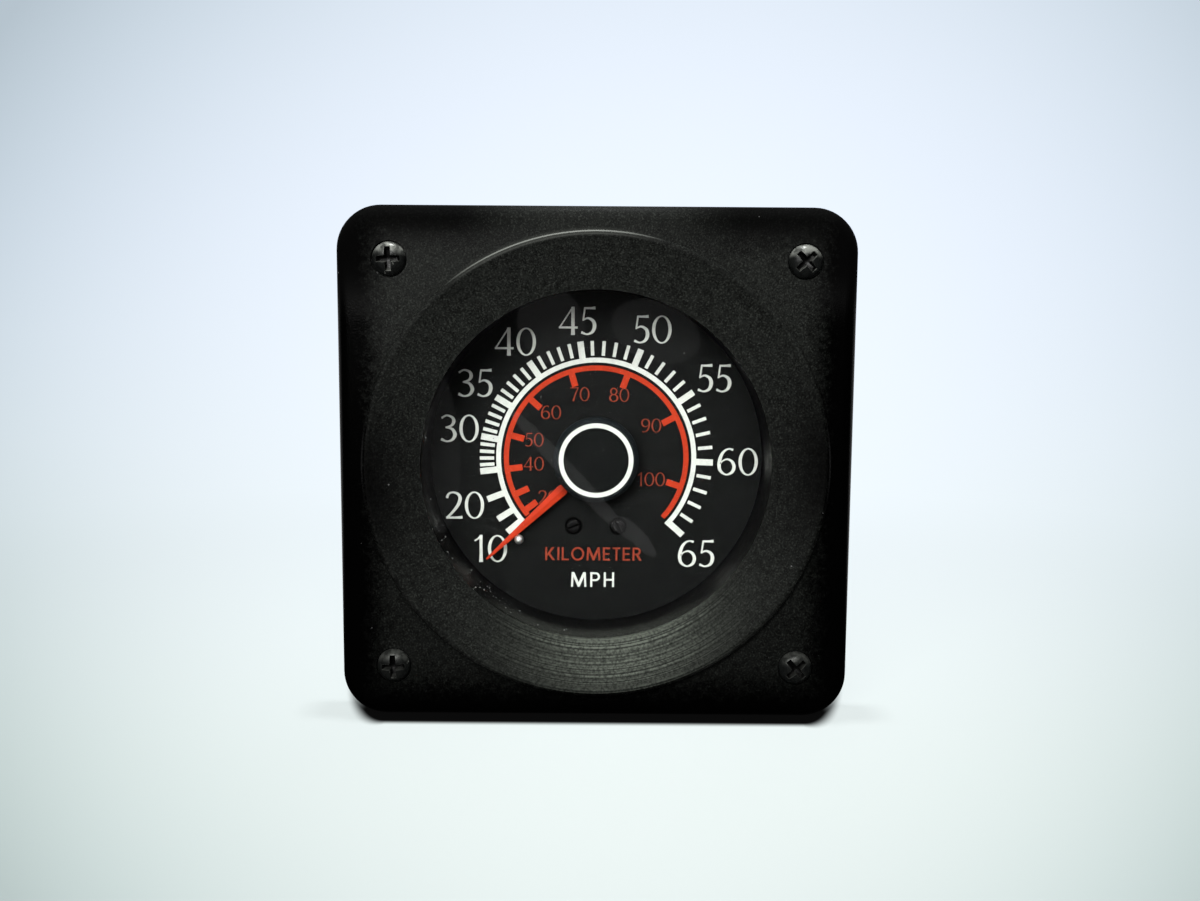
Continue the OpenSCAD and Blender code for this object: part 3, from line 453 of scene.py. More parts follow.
def bezel_plastic(name):
    """Moulded black with a fine pale speck in its grain, smoother along the plate's sides and foot. Painted shade
    darkens the plate's borders and lower part and the raised ring's flanks and outer edge. The ring's slope is
    turned, with a painted highlight on its lower right, where it faces up."""
    material, tree, shader = new_material(name, Specular_IOR_Level=0.055)
    cloud, fine = apply_effect(tree, MOTTLE, Size=1.6, Grain_Size=0.4)
    turned = apply_effect(tree, TURNED_LINES, Pitch=0.42, Outer=51.4)
    place = piece_coordinates(tree)
    x, _, z = split(place)
    radius = axis_radius(x, z)
    aside, height = unsigned(x), unsigned(z)
    on_plate = minus(1.0, turned["Inside"])

    # painted shade: the plate's borders and the ring's left and right flanks are painted darker, without the pale
    # grain
    stray = ramp(noise(place, 1.2, 5.0, 0.7), 0.3, 0.7, -0.0016, 0.0016)
    side = ramp(plus(aside, stray), 0.0442, 0.0528)
    foot = ramp(plus(z, stray), -0.0545, -0.043, 1.0, 0.0)
    top = times(ramp(plus(z, stray), 0.0445, 0.0535), ramp(aside, 0.012, 0.032, 0.0, 0.92))
    corner = ramp(plus(aside, height, stray), 0.088, 0.101, 0.0, 0.85)
    smooth_shaded_border = times(most(side, foot), on_plate)
    level = unsigned(plus(z, ramp(x, -0.01, 0.01, 0.004, 0.0)))
    flank_shade = times(ramp(level, 0.002, 0.027, 1.0, 0.0), ramp(radius, 40.5, 50.5, 0.35, 0.92))
    border_and_flank_shade = most(smooth_shaded_border, times(most(top, corner), on_plate), times(flank_shade, turned["Inside"]))
    # painted shade: the lower plate and the ring's outer edge are painted darker
    low_plate_shade = ramp(z, -0.035, 0.02, 0.5, 1.0)
    outer_ring_shade = ramp(radius, 45.0, 51.0, 0.98, 0.78)
    painted_shading = times(minus(1.0, border_and_flank_shade), blend(turned["Inside"], low_plate_shade, outer_ring_shade))

    mixed = plus(times(cloud, 0.5), times(fine, 0.5))
    greyed = times(ramp(mixed, 0.33, 0.67, 0.3, 1.0), painted_shading)
    colour = blend_colour(greyed, grey(0.0004), (0.0132, 0.0146, 0.013, 1))
    specks = times(ramp(noise(place, 0.42, 2.0), 0.48, 0.75), painted_shading)
    colour = blend_colour(specks, colour, (0.031, 0.034, 0.03, 1))

    # painted highlight: a pale film along the turned lines on the ring's lower right slope, where it faces up,
    # brightest by the window
    outward = unit(wire(tree, "CombineXYZ", {0: x, 2: z}).outputs[0])
    film = maths("POWER", most(dot(outward, (0.139, 0.0, -0.99)), 0.0), 10.0)
    patches = ramp(noise(place, 0.6, 2.0), 0.3, 0.7, 0.3, 1.1)
    lines = ramp(turned["Lines"], 0.36, 0.64, 0.1, 1.2)
    film = times(film, ramp(radius, 40.2, 43.5, 1.55, 0.95), ramp(radius, 46.0, 51.2, 1.0, 0.4), patches,
                 times(lines, turned["Inside"]))
    colour = blend_colour(film, colour, (0.15, 0.168, 0.14, 1))

    # rubbed edges, a painted highlight along the ring's lip and beside it at the top, and specks
    rims = apply_effect(tree, EDGE_WEAR, Width=0.3, Amount=0.3)[0]
    colour = blend_colour(times(rims, painted_shading), colour, grey(0.06))
    off_lip = minus(radius, RING_LIP_RADIUS)
    lip = ramp(unsigned(off_lip), 0.05, 0.24, 1.0, 0.0)
    beside = ramp(unsigned(off_lip), 0.2, 1.2, 0.13, 0.0)
    second = ramp(unsigned(plus(off_lip, 0.62)), 0.08, 0.26, 0.2, 0.0)
    at_top = ramp(dot(outward, (-0.208, 0.0, 0.978)), 0.87, 0.995)
    colour = blend_colour(times(most(lip, second, beside), at_top), colour, (0.2, 0.21, 0.19, 1))
    colour = blend_colour(apply_effect(tree, DUST, Spacing=2.2, Share=0.04)[0], colour, grey(0.1))

    brow = times(ramp(z, 0.049, 0.0555), ramp(aside, 0.005, 0.035, 0.25, 0.9))
    matte = plus(ramp(mixed, 0.3, 0.7, 0.34, 0.5), times(brow, 0.5))
    roughness = blend(smooth_shaded_border, matte, ramp(z, 0.03, 0.046, 0.2, 0.9))
    surface(shader, colour, roughness, blend(turned["Inside"], fine, turned["Lines"]), 0.6, 0.08)
    return material


def metal(name, colour, tarnish, rough, size=2.0, wear=0.0):
    """Worked metal with cloudy tarnish and fine tool grain."""
    material, tree, shader = new_material(name, Metallic=1.0)
    cloud, fine = apply_effect(tree, MOTTLE, Size=size, Grain_Size=0.12)
    shade = blend_colour(ramp(cloud, 0.4, 0.72, 0.0, 0.6), colour, tarnish)
    if wear:
        rubbed = apply_effect(tree, EDGE_WEAR, Width=0.25, Amount=wear)[0]
        shade = blend_colour(rubbed, shade, brighter(colour, 1.25))
    surface(shader, shade, ramp(cloud, 0.3, 0.75, rough, rough + 0.2), fine, 0.12, 0.02)
    return material


def blackened_steel(name, colour, worn, rough):
    """The bezel screws: black, with worn edges and spots, a painted highlight over their upper sides that is
    weaker on the lower screws, and painted shade inside the cross recess but for a painted highlight on its lower
    walls."""
    material, tree, shader = new_material(name, Specular_IOR_Level=0.2)
    place = piece_coordinates(tree)
    cloud, fine = apply_effect(tree, MOTTLE, Size=1.2, Grain_Size=0.25)
    x, y, z = split(place)

    # the cross recess is whatever lies below the pan head's dome, off millimetres from the screw's middle
    off_x = minus(unsigned(x), BEZEL_SCREW_OFFSET * MM)
    off_z = minus(unsigned(z), BEZEL_SCREW_OFFSET * MM)
    off = axis_radius(off_x, off_z)
    dome = plus(-11.8, times(off, off, 0.078))
    sunk = ramp(minus(times(y, 1000.0), dome), 0.12, 0.3)
    recess = times(sunk, maths("LESS_THAN", off, 3.05))

    up = split(wire(tree, "NewGeometry").outputs["Normal"])[2]
    # painted highlight over each head's upper side, broken up by noise and painted weaker on the lower screws
    patchy = times(ramp(noise(place, 1.3, 3.0), 0.35, 0.62, 0.25, 1.0), ramp(z, -0.045, 0.045, 0.22, 1.0))
    crescent = times(ramp(up, 0.1, 0.6), patchy)
    edges = apply_effect(tree, EDGE_WEAR, Width=0.2, Amount=0.3)[0]
    spots = ramp(noise(place, 1.4, 3.0), 0.68, 0.74, 0.0, 0.6)
    shade = blend_colour(ramp(cloud, 0.4, 0.7), colour, brighter(colour, 0.55))
    shade = blend_colour(most(crescent, edges, spots), shade, worn)
    # painted highlight on the recess's upward-facing walls; the rest of the recess is painted shade, near black
    # and less metallic
    painted_wall_highlight = times(ramp(up, 0.5, 0.8, 0.0, 0.4), patchy)
    shade = blend_colour(recess, shade, blend_colour(painted_wall_highlight, grey(0.0015), worn))
    surface(shader, shade, ramp(fine, 0.3, 0.7, rough - 0.08, rough + 0.08), fine, 0.4, 0.04)
    feed(shader, {"Metallic": times(minus(1.0, recess), 0.25)})
    return material


def ink(name, full, thin, specular, rough=0.55, painted_hub_shadow=0.0):
    """Screen print or paint, a little uneven; the last argument paints the hub cap's shadow on it, darker close to
    the hub.
    """
    material, tree, shader = new_material(name, Specular_IOR_Level=specular)
    cloud, fine = apply_effect(tree, MOTTLE, Size=0.9, Grain_Size=0.15)
    colour = blend_colour(ramp(cloud, 0.35, 0.7), full, thin)
    # painted shadow of the hub cap over the inner end
    if painted_hub_shadow:
        x, _, z = split(piece_coordinates(tree))
        near = ramp(axis_radius(x, z), 10.0, 13.5, painted_hub_shadow, 0.0)
        colour = blend_colour(near, colour, brighter(thin, 0.3))
    surface(shader, colour, ramp(fine, 0.3, 0.7, rough - 0.06, rough + 0.06), fine, 0.1, 0.01)
    return material


def settled_film(name, colour):
    """A grey film along the lens's lower edge, thinning out upwards: settled dust and a painted reflection."""
    material, tree, shader = new_material(name, Base_Color=colour, Specular_IOR_Level=0.05, Roughness=0.8)
    place = piece_coordinates(tree)
    x, _, z = split(place)
    cover = times(ramp(axis_radius(x, z), 37.0, 39.0), ramp(z, -0.0375, -0.029, 1.0, 0.0))
    patches = ramp(noise(place, 0.8, 3.0), 0.3, 0.7, 0.65, 1.0)
    feed(shader, {"Alpha": times(cover, patches)})
    return material


def glass(name, tint):
    """A clear pane that lets light and shadow rays through."""
    material, tree, shader = new_material(name, Base_Color=tint, Transmission_Weight=1.0, IOR=1.49,
                                          Roughness=0.02)
    clear = wire(tree, "BsdfTransparent", {0: tint}).outputs[0]
    shadow = wire(tree, "LightPath").outputs["Is Shadow Ray"]
    feed(tree.nodes["Material Output"], {"Surface": blend_shader(shadow, shader.outputs[0], clear)})
    return material


def plain_name(material):
    """A material's name without the number that its double in the CAD model gives it."""
    return material.name.split(".")[0]


finishes = {plain_name(m): m for m in (
    bezel_plastic("bezel_plastic"),
    black_plastic("case_plastic", grey(0.0022), grey(0.005), 0.42, size=3, specular=0.15, dust=0.12),
    blackened_steel("black_screw", (0.010, 0.011, 0.0105, 1), (0.27, 0.28, 0.255, 1), 0.34),
    black_plastic("dial_screw_black", grey(0.004), grey(0.008), 0.4, size=0.8, grain=0.2, wear=0.35,
                  worn=grey(0.05), specular=0.08, dust=0.0),
    glass("clear_lens", (1, 1, 1, 1)),
    black_plastic("seal_rubber", grey(0.006), grey(0.014), 0.72, wear=0.1, specular=0.3),
    black_plastic("dial_black", (0.0036, 0.0041, 0.0039, 1), (0.006, 0.0069, 0.0065, 1), 0.6, size=4, grain=0.3,
                  wear=0.0, specular=0.06, relief=0.2, dust=0.015),
    ink("print_white", (0.665, 0.70, 0.65, 1), (0.6, 0.632, 0.585, 1), 0.08),
    ink("print_red", (0.465, 0.041, 0.013, 1), (0.395, 0.033, 0.011, 1), 0.06),
    ink("fine_red", (0.28, 0.045, 0.022, 1), (0.23, 0.038, 0.018, 1), 0.06),
    ink("pointer_orange", (0.48, 0.037, 0.012, 1), (0.42, 0.031, 0.01, 1), 0.06, 0.45, painted_hub_shadow=0.6),
    black_plastic("hub_black", (0.0014, 0.0022, 0.002, 1), (0.0024, 0.0034, 0.0031, 1), 0.5, size=3, grain=0.3,
                  wear=0.12, specular=0.09, relief=0.08, dust=0.02, rim=8.6),
    # near black for painted shade
    black_plastic("shade_black", grey(0.0003), grey(0.0008), 0.8, wear=0.0, specular=0.0, dust=0.0),
    # grey film on the lens's lower edge: settled dust and a painted reflection
    settled_film("settled_film", (0.040, 0.043, 0.038, 1)),
    ink("pale_dust", (0.3, 0.31, 0.3, 1), (0.15, 0.16, 0.15, 1), 0.1, 0.8),
    metal("brass", (0.72, 0.53, 0.23, 1), (0.42, 0.27, 0.11, 1), 0.24, wear=0.5),
    metal("tube_bronze", (0.62, 0.38, 0.18, 1), (0.36, 0.2, 0.1, 1), 0.28, size=4),
    metal("bright_steel", (0.85, 0.86, 0.84, 1), (0.6, 0.6, 0.58, 1), 0.42),
    metal("spring_steel", (0.2, 0.26, 0.38, 1), (0.12, 0.15, 0.24, 1), 0.22),
    metal("zinc_steel", (0.6, 0.62, 0.63, 1), (0.42, 0.42, 0.38, 1), 0.3, wear=0.4),
    metal("tinned_terminal", (0.62, 0.62, 0.6, 1), (0.45, 0.44, 0.41, 1), 0.34, wear=0.4),
    black_plastic("socket_plastic", grey(0.012), grey(0.02), 0.42, specular=0.45),
    glass("bulb_glass", (1, 0.99, 0.96, 1)),
)}

for node in nodes.values():
    finish = finishes[plain_name(node.material_slots[0].material)]
    for place in node.material_slots:
        place.material = finish


def pressure_tube():
    """The curled tube inside the case."""
    tube = add_object("pressure_tube", nodes["bourdon_tube"].data.copy())
    edit(tube, tidy_shell)
    smooth(tube)
    tube.data.materials.clear()
    tube.data.materials.append(finishes["tube_bronze"])
    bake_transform(tube)
    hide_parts("bourdon_tube")


pressure_tube()


# Dial print. Characters are drawn one unit high, from strokes of changing width or plain outlines.

def arc(cx, cy, rx, ry, start, end, count=20):
    return [(cx + rx * math.cos(math.radians(start + (end - start) * i / count)),
             cy + ry * math.sin(math.radians(start + (end - start) * i / count))) for i in range(count + 1)]


def loop(cx, cy, rx, ry):
    return arc(cx, cy, rx, ry, 0, 360, 48)[:-1]


def brush(points, weight=1.0):
    """The outline of one stroke through points (x, y, width), smoothly joined."""
    if len(points) > 2:
        fine = []
        ends = [points[0]] + list(points) + [points[-1]]
        for a, b, c, d in zip(ends, ends[1:], ends[2:], ends[3:]):
            for i in range(8):
                t = i / 8
                fine.append([0.5 * (2 * q + (r - p) * t + (2 * p - 5 * q + 4 * r - s) * t * t
                                    + (3 * q - p - 3 * r + s) * t ** 3) for p, q, r, s in zip(a, b, c, d)])
        points = fine + [list(points[-1])]
    left, right = [], []
    for i, (x, y, w) in enumerate(points):
        before, after = points[max(i - 1, 0)], points[min(i + 1, len(points) - 1)]
        dx, dy = after[0] - before[0], after[1] - before[1]
        size = math.hypot(dx, dy)
        nx, ny = -dy / size * w * weight / 2, dx / size * w * weight / 2
        left.append((x + nx, y + ny))
        right.append((x - nx, y - ny))
    return left + right[::-1]


SIX = [[(0.57, 0.93, 0.085), (0.42, 0.965, 0.055), (0.27, 0.90, 0.075), (0.14, 0.72, 0.11), (0.07, 0.42, 0.125),
        (0.12, 0.17, 0.105), (0.33, 0.03, 0.055), (0.54, 0.12, 0.10), (0.61, 0.31, 0.12), (0.54, 0.50, 0.10),
        (0.37, 0.59, 0.06), (0.20, 0.53, 0.05), (0.11, 0.42, 0.05)]]
STROKES = {
    "1": (0.42, [[(0.26, 1.0, 0.11), (0.26, 0.25, 0.11), (0.26, 0.0, 0.15)],
                 [(0.03, 0.78, 0.05), (0.15, 0.86, 0.06), (0.26, 0.97, 0.06)]]),
    "2": (0.62, [[(0.06, 0.76, 0.10), (0.13, 0.91, 0.075), (0.30, 0.965, 0.065), (0.48, 0.89, 0.10),
                  (0.54, 0.73, 0.125), (0.46, 0.50, 0.115), (0.27, 0.25, 0.09), (0.08, 0.05, 0.08)],
                 [(0.03, 0.04, 0.08), (0.40, 0.04, 0.075), (0.62, 0.055, 0.11)]]),
    "3": (0.62, [[(0.07, 0.87, 0.075), (0.25, 0.965, 0.06), (0.45, 0.90, 0.09), (0.51, 0.75, 0.12),
                  (0.42, 0.60, 0.08), (0.21, 0.535, 0.05)],
                 [(0.21, 0.535, 0.05), (0.44, 0.48, 0.09), (0.55, 0.28, 0.13), (0.45, 0.09, 0.09),
                  (0.25, 0.03, 0.06), (0.05, 0.11, 0.10)]]),
    "4": (0.68, [[(0.50, 1.0, 0.12), (0.50, 0.3, 0.12), (0.50, 0.0, 0.14)],
                 [(0.49, 0.98, 0.05), (0.03, 0.27, 0.05)], [(0.0, 0.265, 0.07), (0.67, 0.265, 0.075)]]),
    "5": (0.57, [[(0.13, 0.955, 0.07), (0.35, 0.955, 0.075), (0.53, 0.965, 0.11)],
                 [(0.155, 0.97, 0.06), (0.095, 0.51, 0.06)],
                 [(0.08, 0.53, 0.05), (0.27, 0.60, 0.07), (0.45, 0.50, 0.11), (0.50, 0.31, 0.13),
                  (0.42, 0.11, 0.10), (0.23, 0.03, 0.06), (0.03, 0.10, 0.09)]]),
    "6": (0.68, SIX),
    "7": (0.60, [[(0.0, 0.955, 0.09), (0.3, 0.96, 0.07), (0.6, 0.96, 0.075)],
                 [(0.57, 0.95, 0.07), (0.37, 0.5, 0.09), (0.22, 0.0, 0.13)]]),
    "9": (0.68, [[(0.68 - x, 1 - y, w) for x, y, w in SIX[0]]]),
}
STEM, BAR = 0.14, 0.125


def upright(x):
    return [[(x, 0), (x, 1), (x + STEM, 1), (x + STEM, 0)]]


def bar(x0, x1, y):
    return [[(x0, y), (x0, y + BAR), (x1, y + BAR), (x1, y)]]


def bowl(right, low):
    """The half round of P and R, with its hole, from the top down to low."""
    middle, half = (1 + low) / 2, (1 - low) / 2
    return [[(0.05, 1)] + arc(right - half, middle, half, half, 90, -90) + [(0.05, low)],
            [(STEM, low + BAR), (STEM, 1 - BAR)]
            + arc(right - half, middle, half - STEM, half - BAR, 90, -90, 12)]


OUTLINES = {
    "0": (0.70, [[loop(0.35, 0.5, 0.35, 0.5), loop(0.35, 0.5, 0.235, 0.45)]]),
    "8": (0.66, [[loop(0.33, 0.745, 0.265, 0.255), loop(0.33, 0.745, 0.165, 0.195)],
                 [loop(0.33, 0.275, 0.33, 0.275), loop(0.33, 0.275, 0.21, 0.22)]]),
    "M": (1.05, [[[(0, 0), (0.05, 1), (0.22, 1), (0.525, 0.32), (0.83, 1), (1.0, 1), (1.05, 0), (0.91, 0),
                   (0.88, 0.68), (0.585, 0), (0.465, 0), (0.17, 0.68), (0.14, 0)]]]),
    "P": (0.66, [upright(0), bowl(0.66, 0.40)]),
    "H": (0.70, [upright(0), upright(0.56), bar(0.05, 0.65, 0.43)]),
    "K": (0.74, [upright(0), [[(0.1, 0.38), (0.50, 1), (0.70, 1), (0.36, 0.53), (0.74, 0), (0.54, 0),
                               (0.25, 0.43), (0.1, 0.25)]]]),
    "I": (STEM, [upright(0)]),
    "L": (0.54, [upright(0), bar(0.05, 0.54, 0)]),
    "O": (0.98, [[loop(0.49, 0.5, 0.49, 0.52), loop(0.49, 0.5, 0.35, 0.385)]]),
    "E": (0.56, [upright(0), bar(0.05, 0.55, 1 - BAR), bar(0.05, 0.50, 0.44), bar(0.05, 0.56, 0)]),
    "T": (0.58, [upright(0.22), bar(0, 0.58, 1 - BAR)]),
    "R": (0.70, [upright(0), bowl(0.62, 0.42), [[(0.24, 0.46), (0.42, 0.46), (0.70, 0), (0.51, 0)]]]),
}


def flat_shape(loops):
    """A thin plate inside the first outline and outside the others."""
    curve = bpy.data.curves.new("shape", "CURVE")
    curve.dimensions, curve.fill_mode, curve.extrude = "2D", "BOTH", 0.5
    for points in loops:
        line = curve.splines.new("POLY")
        line.points.add(len(points) - 1)
        for point, (x, y) in zip(line.points, points):
            point.co = (x, y, 0, 1)
        line.use_cyclic_u = True
    activate(add_object("shape", curve))
    bpy.ops.object.convert(target="MESH")
    plate = bpy.context.object
    edit(plate, tidy_shell)
    return plate


made_characters = {}


def character(letter, weight):
    """One character's plate, one unit high and one unit thick, and its width. Each is made once."""
    if (letter, weight) not in made_characters:
        if letter in STROKES:
            width, strokes = STROKES[letter]
            shapes = [[brush(s, weight)] for s in strokes]
        else:
            width, shapes = OUTLINES[letter]
            if letter == "0" and weight < 1:
                shapes = [[shapes[0][0], loop(0.35, 0.5, 0.35 - 0.115 * weight, 0.5 - 0.05 * weight)]]
        plate = flat_shape(shapes[0])
        for extra in shapes[1:]:
            combine(plate, flat_shape(extra))
        made_characters[letter, weight] = (plate, width)
    return made_characters[letter, weight]


def set_text(text, centre, height, gap=0.09, weight=1.0, width=None):
    """Characters side by side on the dial's face, centred on a point."""
    widths = [character(c, weight)[1] for c in text]
    total = sum(widths) + gap * (len(text) - 1)
    stretch = width / (total * height) if width else 1.0
    x = centre[0] - total * height * stretch / 2
    placed = []
    for letter, w in zip(text, widths):
        mesh = character(letter, weight)[0].data.copy()
        mesh.transform(Matrix(((height * stretch * MM, 0, 0, x * MM),
                               (0, 0, -PRINT_THICKNESS * MM, PRINT_MIDDLE_Y * MM),
                               (0, height * MM, 0, (centre[1] - height / 2) * MM), (0, 0, 0, 1))))
        placed.append(add_object("character", mesh))
        x += (w + gap) * height * stretch
    return placed


def join_print(name, parts, slot, finish=None):
    whole = join(parts, name)
    edit(whole, lambda: bpy.ops.mesh.normals_make_consistent(inside=False))
    fit(whole, slot, finish=finish)


MPH_PLACES = {10: (-25.5, -22.3), 20: (-31.7, -11.7), 30: (-32.9, 6.9), 35: (-29.1, 17.8), 40: (-19.4, 27.7),
              45: (-4.6, 32.7), 50: (13.2, 30.8), 55: (28.1, 19.3), 60: (34.0, -0.7), 65: (24.4, -23.2)}
KMH_PLACES = {20: (-11.6, -9.6), 40: (-15.0, -1.5), 50: (-14.9, 4.3), 60: (-10.9, 10.9), 70: (-4.0, 15.3),
              80: (5.4, 15.2), 90: (13.1, 7.9), 100: (13.3, -5.1)}


def set_numbers(places, height, weight=1.0):
    return [piece for number, place in places.items()
            for piece in set_text(str(number), place, height, weight=weight)]


join_print("mph_numerals", set_numbers(MPH_PLACES, 6.65), "print_white")
join_print("kmh_numerals", set_numbers(KMH_PLACES, 3.3, 0.85), "print_red", "fine_red")
join_print("mph_word", set_text("MPH", (-0.7, -29.8), 3.6, gap=0.26, width=10.5), "print_white")
join_print("kilometer_word", set_text("KILOMETER", (-0.5, -23.45), 3.2, gap=0.19, width=23.4),
           "print_red", "fine_red")
for plate, _ in made_characters.values():
    bpy.data.objects.remove(plate)


# Bezel screws: domed pan heads with a tapered cross recess

def pan_head_screw():
    thread_rings = []
    for i in range(9):
        y = -8.2 + i * 0.7
        thread_rings += [(1.75, y), (2.08, y + 0.3), (1.75, y + 0.6)]
    screw = lathe("screw", [(0, -11.8), (0.9, -11.77), (1.8, -11.62), (2.5, -11.35), (3.05, -10.98),
                            (3.45, -10.55), (3.7, -10.08), (3.8, -9.6), (3.76, -9.44), (3.6, -9.4), (2.0, -9.4),
                            (2.0, -8.4)] + thread_rings + [(1.5, -1.5), (0, -1.5)])
    for turn in (0, 90):  # the recess narrows with depth
        wing = block("wing", (-3.25, -12.2, -0.78), (3.25, -10.1, 0.78))
        for v in wing.data.vertices:
            if v.co.y > -0.0112:
                v.co.x *= 0.6
                v.co.z *= 0.5
        wing.rotation_euler = (0, math.radians(turn), 0)
        settle(wing)
        combine(screw, wing, "DIFFERENCE")
    heart = lathe("heart", [(0, -12.4), (1.2, -12.4), (0.75, -10.2), (0, -9.8)], steps=16)
    combine(screw, heart, "DIFFERENCE")
    soften(screw, 0.07, 35)
    return screw


corners = [(side * BEZEL_SCREW_OFFSET, level * BEZEL_SCREW_OFFSET, turn)
           for side, turn in ((-1, 2), (1, 43)) for level in (1, -1)]
bezel_screws = copies(pan_head_screw(), corners, "pan_head_screws")
smooth(bezel_screws)
fit(bezel_screws, "black_screw", "bezel_screws")


# Dial screws: small cheese heads with a slot

def cheese_head_screw():
    screw = lathe("cheese_head", [(0, 8.8), (1.1, 8.82), (1.42, 8.92), (1.58, 9.12), (1.6, 9.3), (1.6, 9.6),
                                  (0.6, 9.6), (0.6, 9.7), (0, 9.7)], steps=48)
    combine(screw, block("slot", (-2.1, 8.2, -0.29), (2.1, 9.45, 0.29)), "DIFFERENCE")
    soften(screw, 0.04)
    return screw


dial_screws = copies(cheese_head_screw(), DIAL_SCREW_PLACES, "slotted_dial_screws")
smooth(dial_screws)
fit(dial_screws, "black_screw", "dial_screws", finish="dial_screw_black")
# painted shade: a flat near-black ring round each dial screw's head and a black bar deep in its slot
screw_shade = lathe("screw_shade", [(1.61, 9.5), (2.04, 9.5), (2.12, 9.55), (2.12, 9.6), (1.61, 9.6), (1.61, 9.5)],
                   steps=48)
screw_shade = join([screw_shade, block("slot_shade_bar", (-1.52, 8.98, -0.28), (1.52, 9.44, 0.28))], "screw_shade")
screw_shades = copies(screw_shade, DIAL_SCREW_PLACES, "dial_screw_shades")
fit(screw_shades, "dial_black", finish="shade_black")


# Stop pin: a bright ball head on a thin shank

stop_turn, stop_reach, ball = math.radians(226.8), 26.9, 1.1
stop_pin = lathe("ball_stop_pin", [(ball * math.sin(math.radians(a)), 7.4 - ball * math.cos(math.radians(a)))
                                   for a in range(0, 136, 9)] + [(0.75, 8.3), (0.75, 9.6), (0, 9.6)],
                 (stop_reach * math.cos(stop_turn), stop_reach * math.sin(stop_turn)), steps=32)
smooth(stop_pin, 40)
fit(stop_pin, "bright_steel", "stop_pin")


# Dust: small pale flecks on the lens, most of them near the lower left of the window

def make_flecks():
    spots = random.Random(7)
    flecks = []
    count, low_count = 56, 40
    for i in range(count):
        if i < low_count:
            angle, radius = math.radians(spots.gauss(222, 26)), spots.uniform(36.8, 39.1)
        else:
            angle, radius = math.radians(spots.uniform(0, 360)), spots.uniform(4, 38)
        size = spots.uniform(0.05, 0.15)
        bpy.ops.mesh.primitive_ico_sphere_add(subdivisions=1, radius=size * MM, location=(
            radius * math.cos(angle) * MM, (LENS_FRONT_Y - 0.02) * MM, radius * math.sin(angle) * MM))
        fleck = bpy.context.object
        fleck.scale = (1, 0.3, spots.uniform(0.5, 1.4))
        fleck.rotation_euler = (0, spots.uniform(0, 3), 0)
        settle(fleck)
        flecks.append(fleck)
    fit(join(flecks, "dust_flecks"), "clear_lens", finish="pale_dust")


make_flecks()
# a grey film on the lens's lower edge: settled dust and a painted reflection
front, back = LENS_FRONT_Y - 0.03, LENS_FRONT_Y - 0.005
film = lathe("settled_film", [(36.8, front), (39.38, front), (39.38, back), (36.8, back), (36.8, front)], steps=96)
fit(film, "clear_lens", finish="settled_film")


# Pointer: a tapered needle with a faint ridge down its middle

def make_needle():
    at_rest = math.radians(223)
    outline = [(-7, 0.8), (9.7, 0.8), (10.3, 1.05), (10.8, 1.28), (11.4, 1.33), (35.3, 0.29), (35.9, 0.2)]
    points = [(x, side * w) for x, w in outline for side in (-1, 0, 1)]  # edge, ridge, edge
    verts = []
    for depth, lift in ((7.14, 0.14), (7.6, 0)):
        for x, w in points:
            verts.append((x, depth - (lift if w == 0 else 0), w))
    count = len(points)
    faces = []
    for i in range(len(outline) - 1):
        for j in (0, 1):
            a = 3 * i + j
            faces.append((a, a + 1, a + 4, a + 3))
            faces.append((count + a + 3, count + a + 4, count + a + 1, count + a))
    rim = ([0, 1, 2] + [3 * i + 2 for i in range(1, len(outline))] + [count - 2]
           + [3 * i for i in range(len(outline) - 1, 0, -1)])
    for a, b in zip(rim, rim[1:] + rim[:1]):
        faces.append((a, b, count + b, count + a))
    mesh = bpy.data.meshes.new("needle")
    mesh.from_pydata([(MM * (x * math.cos(at_rest) - w * math.sin(at_rest)), MM * y,
                       MM * (x * math.sin(at_rest) + w * math.cos(at_rest))) for x, y, w in verts], [], faces)
    needle = add_object("needle", mesh)
    edit(needle, tidy_shell)
    soften(needle, 0.06)
    combine(needle, lathe("neck_hole", [(0, 6.5), (0.9, 6.5), (0.9, 8), (0, 8)], steps=32), "DIFFERENCE")
    smooth(needle, 12)
    fit(needle, "pointer_orange", "pointer_blade", body="pointer")


make_needle()


# Rear fittings

def make_studs():
    studs = []
    for side in (-25.4, 25.4):
        stud = thread("stud", 2.08, 1.72, 0.79, 36.5, 64.5, (side, 0), chamfer=0.6)
        head = lathe("stud_head", [(0, 32), (3.7, 32), (4, 32.3), (4, 33.7), (3.7, 34), (1.85, 34), (1.85, 37),
                                   (0, 37)], (side, 0))
        combine(stud, head)
        studs.append(stud)
    studs = join(studs, "threaded_studs")
    smooth(studs, 30)
    fit(studs, "zinc_steel", "mounting_studs")


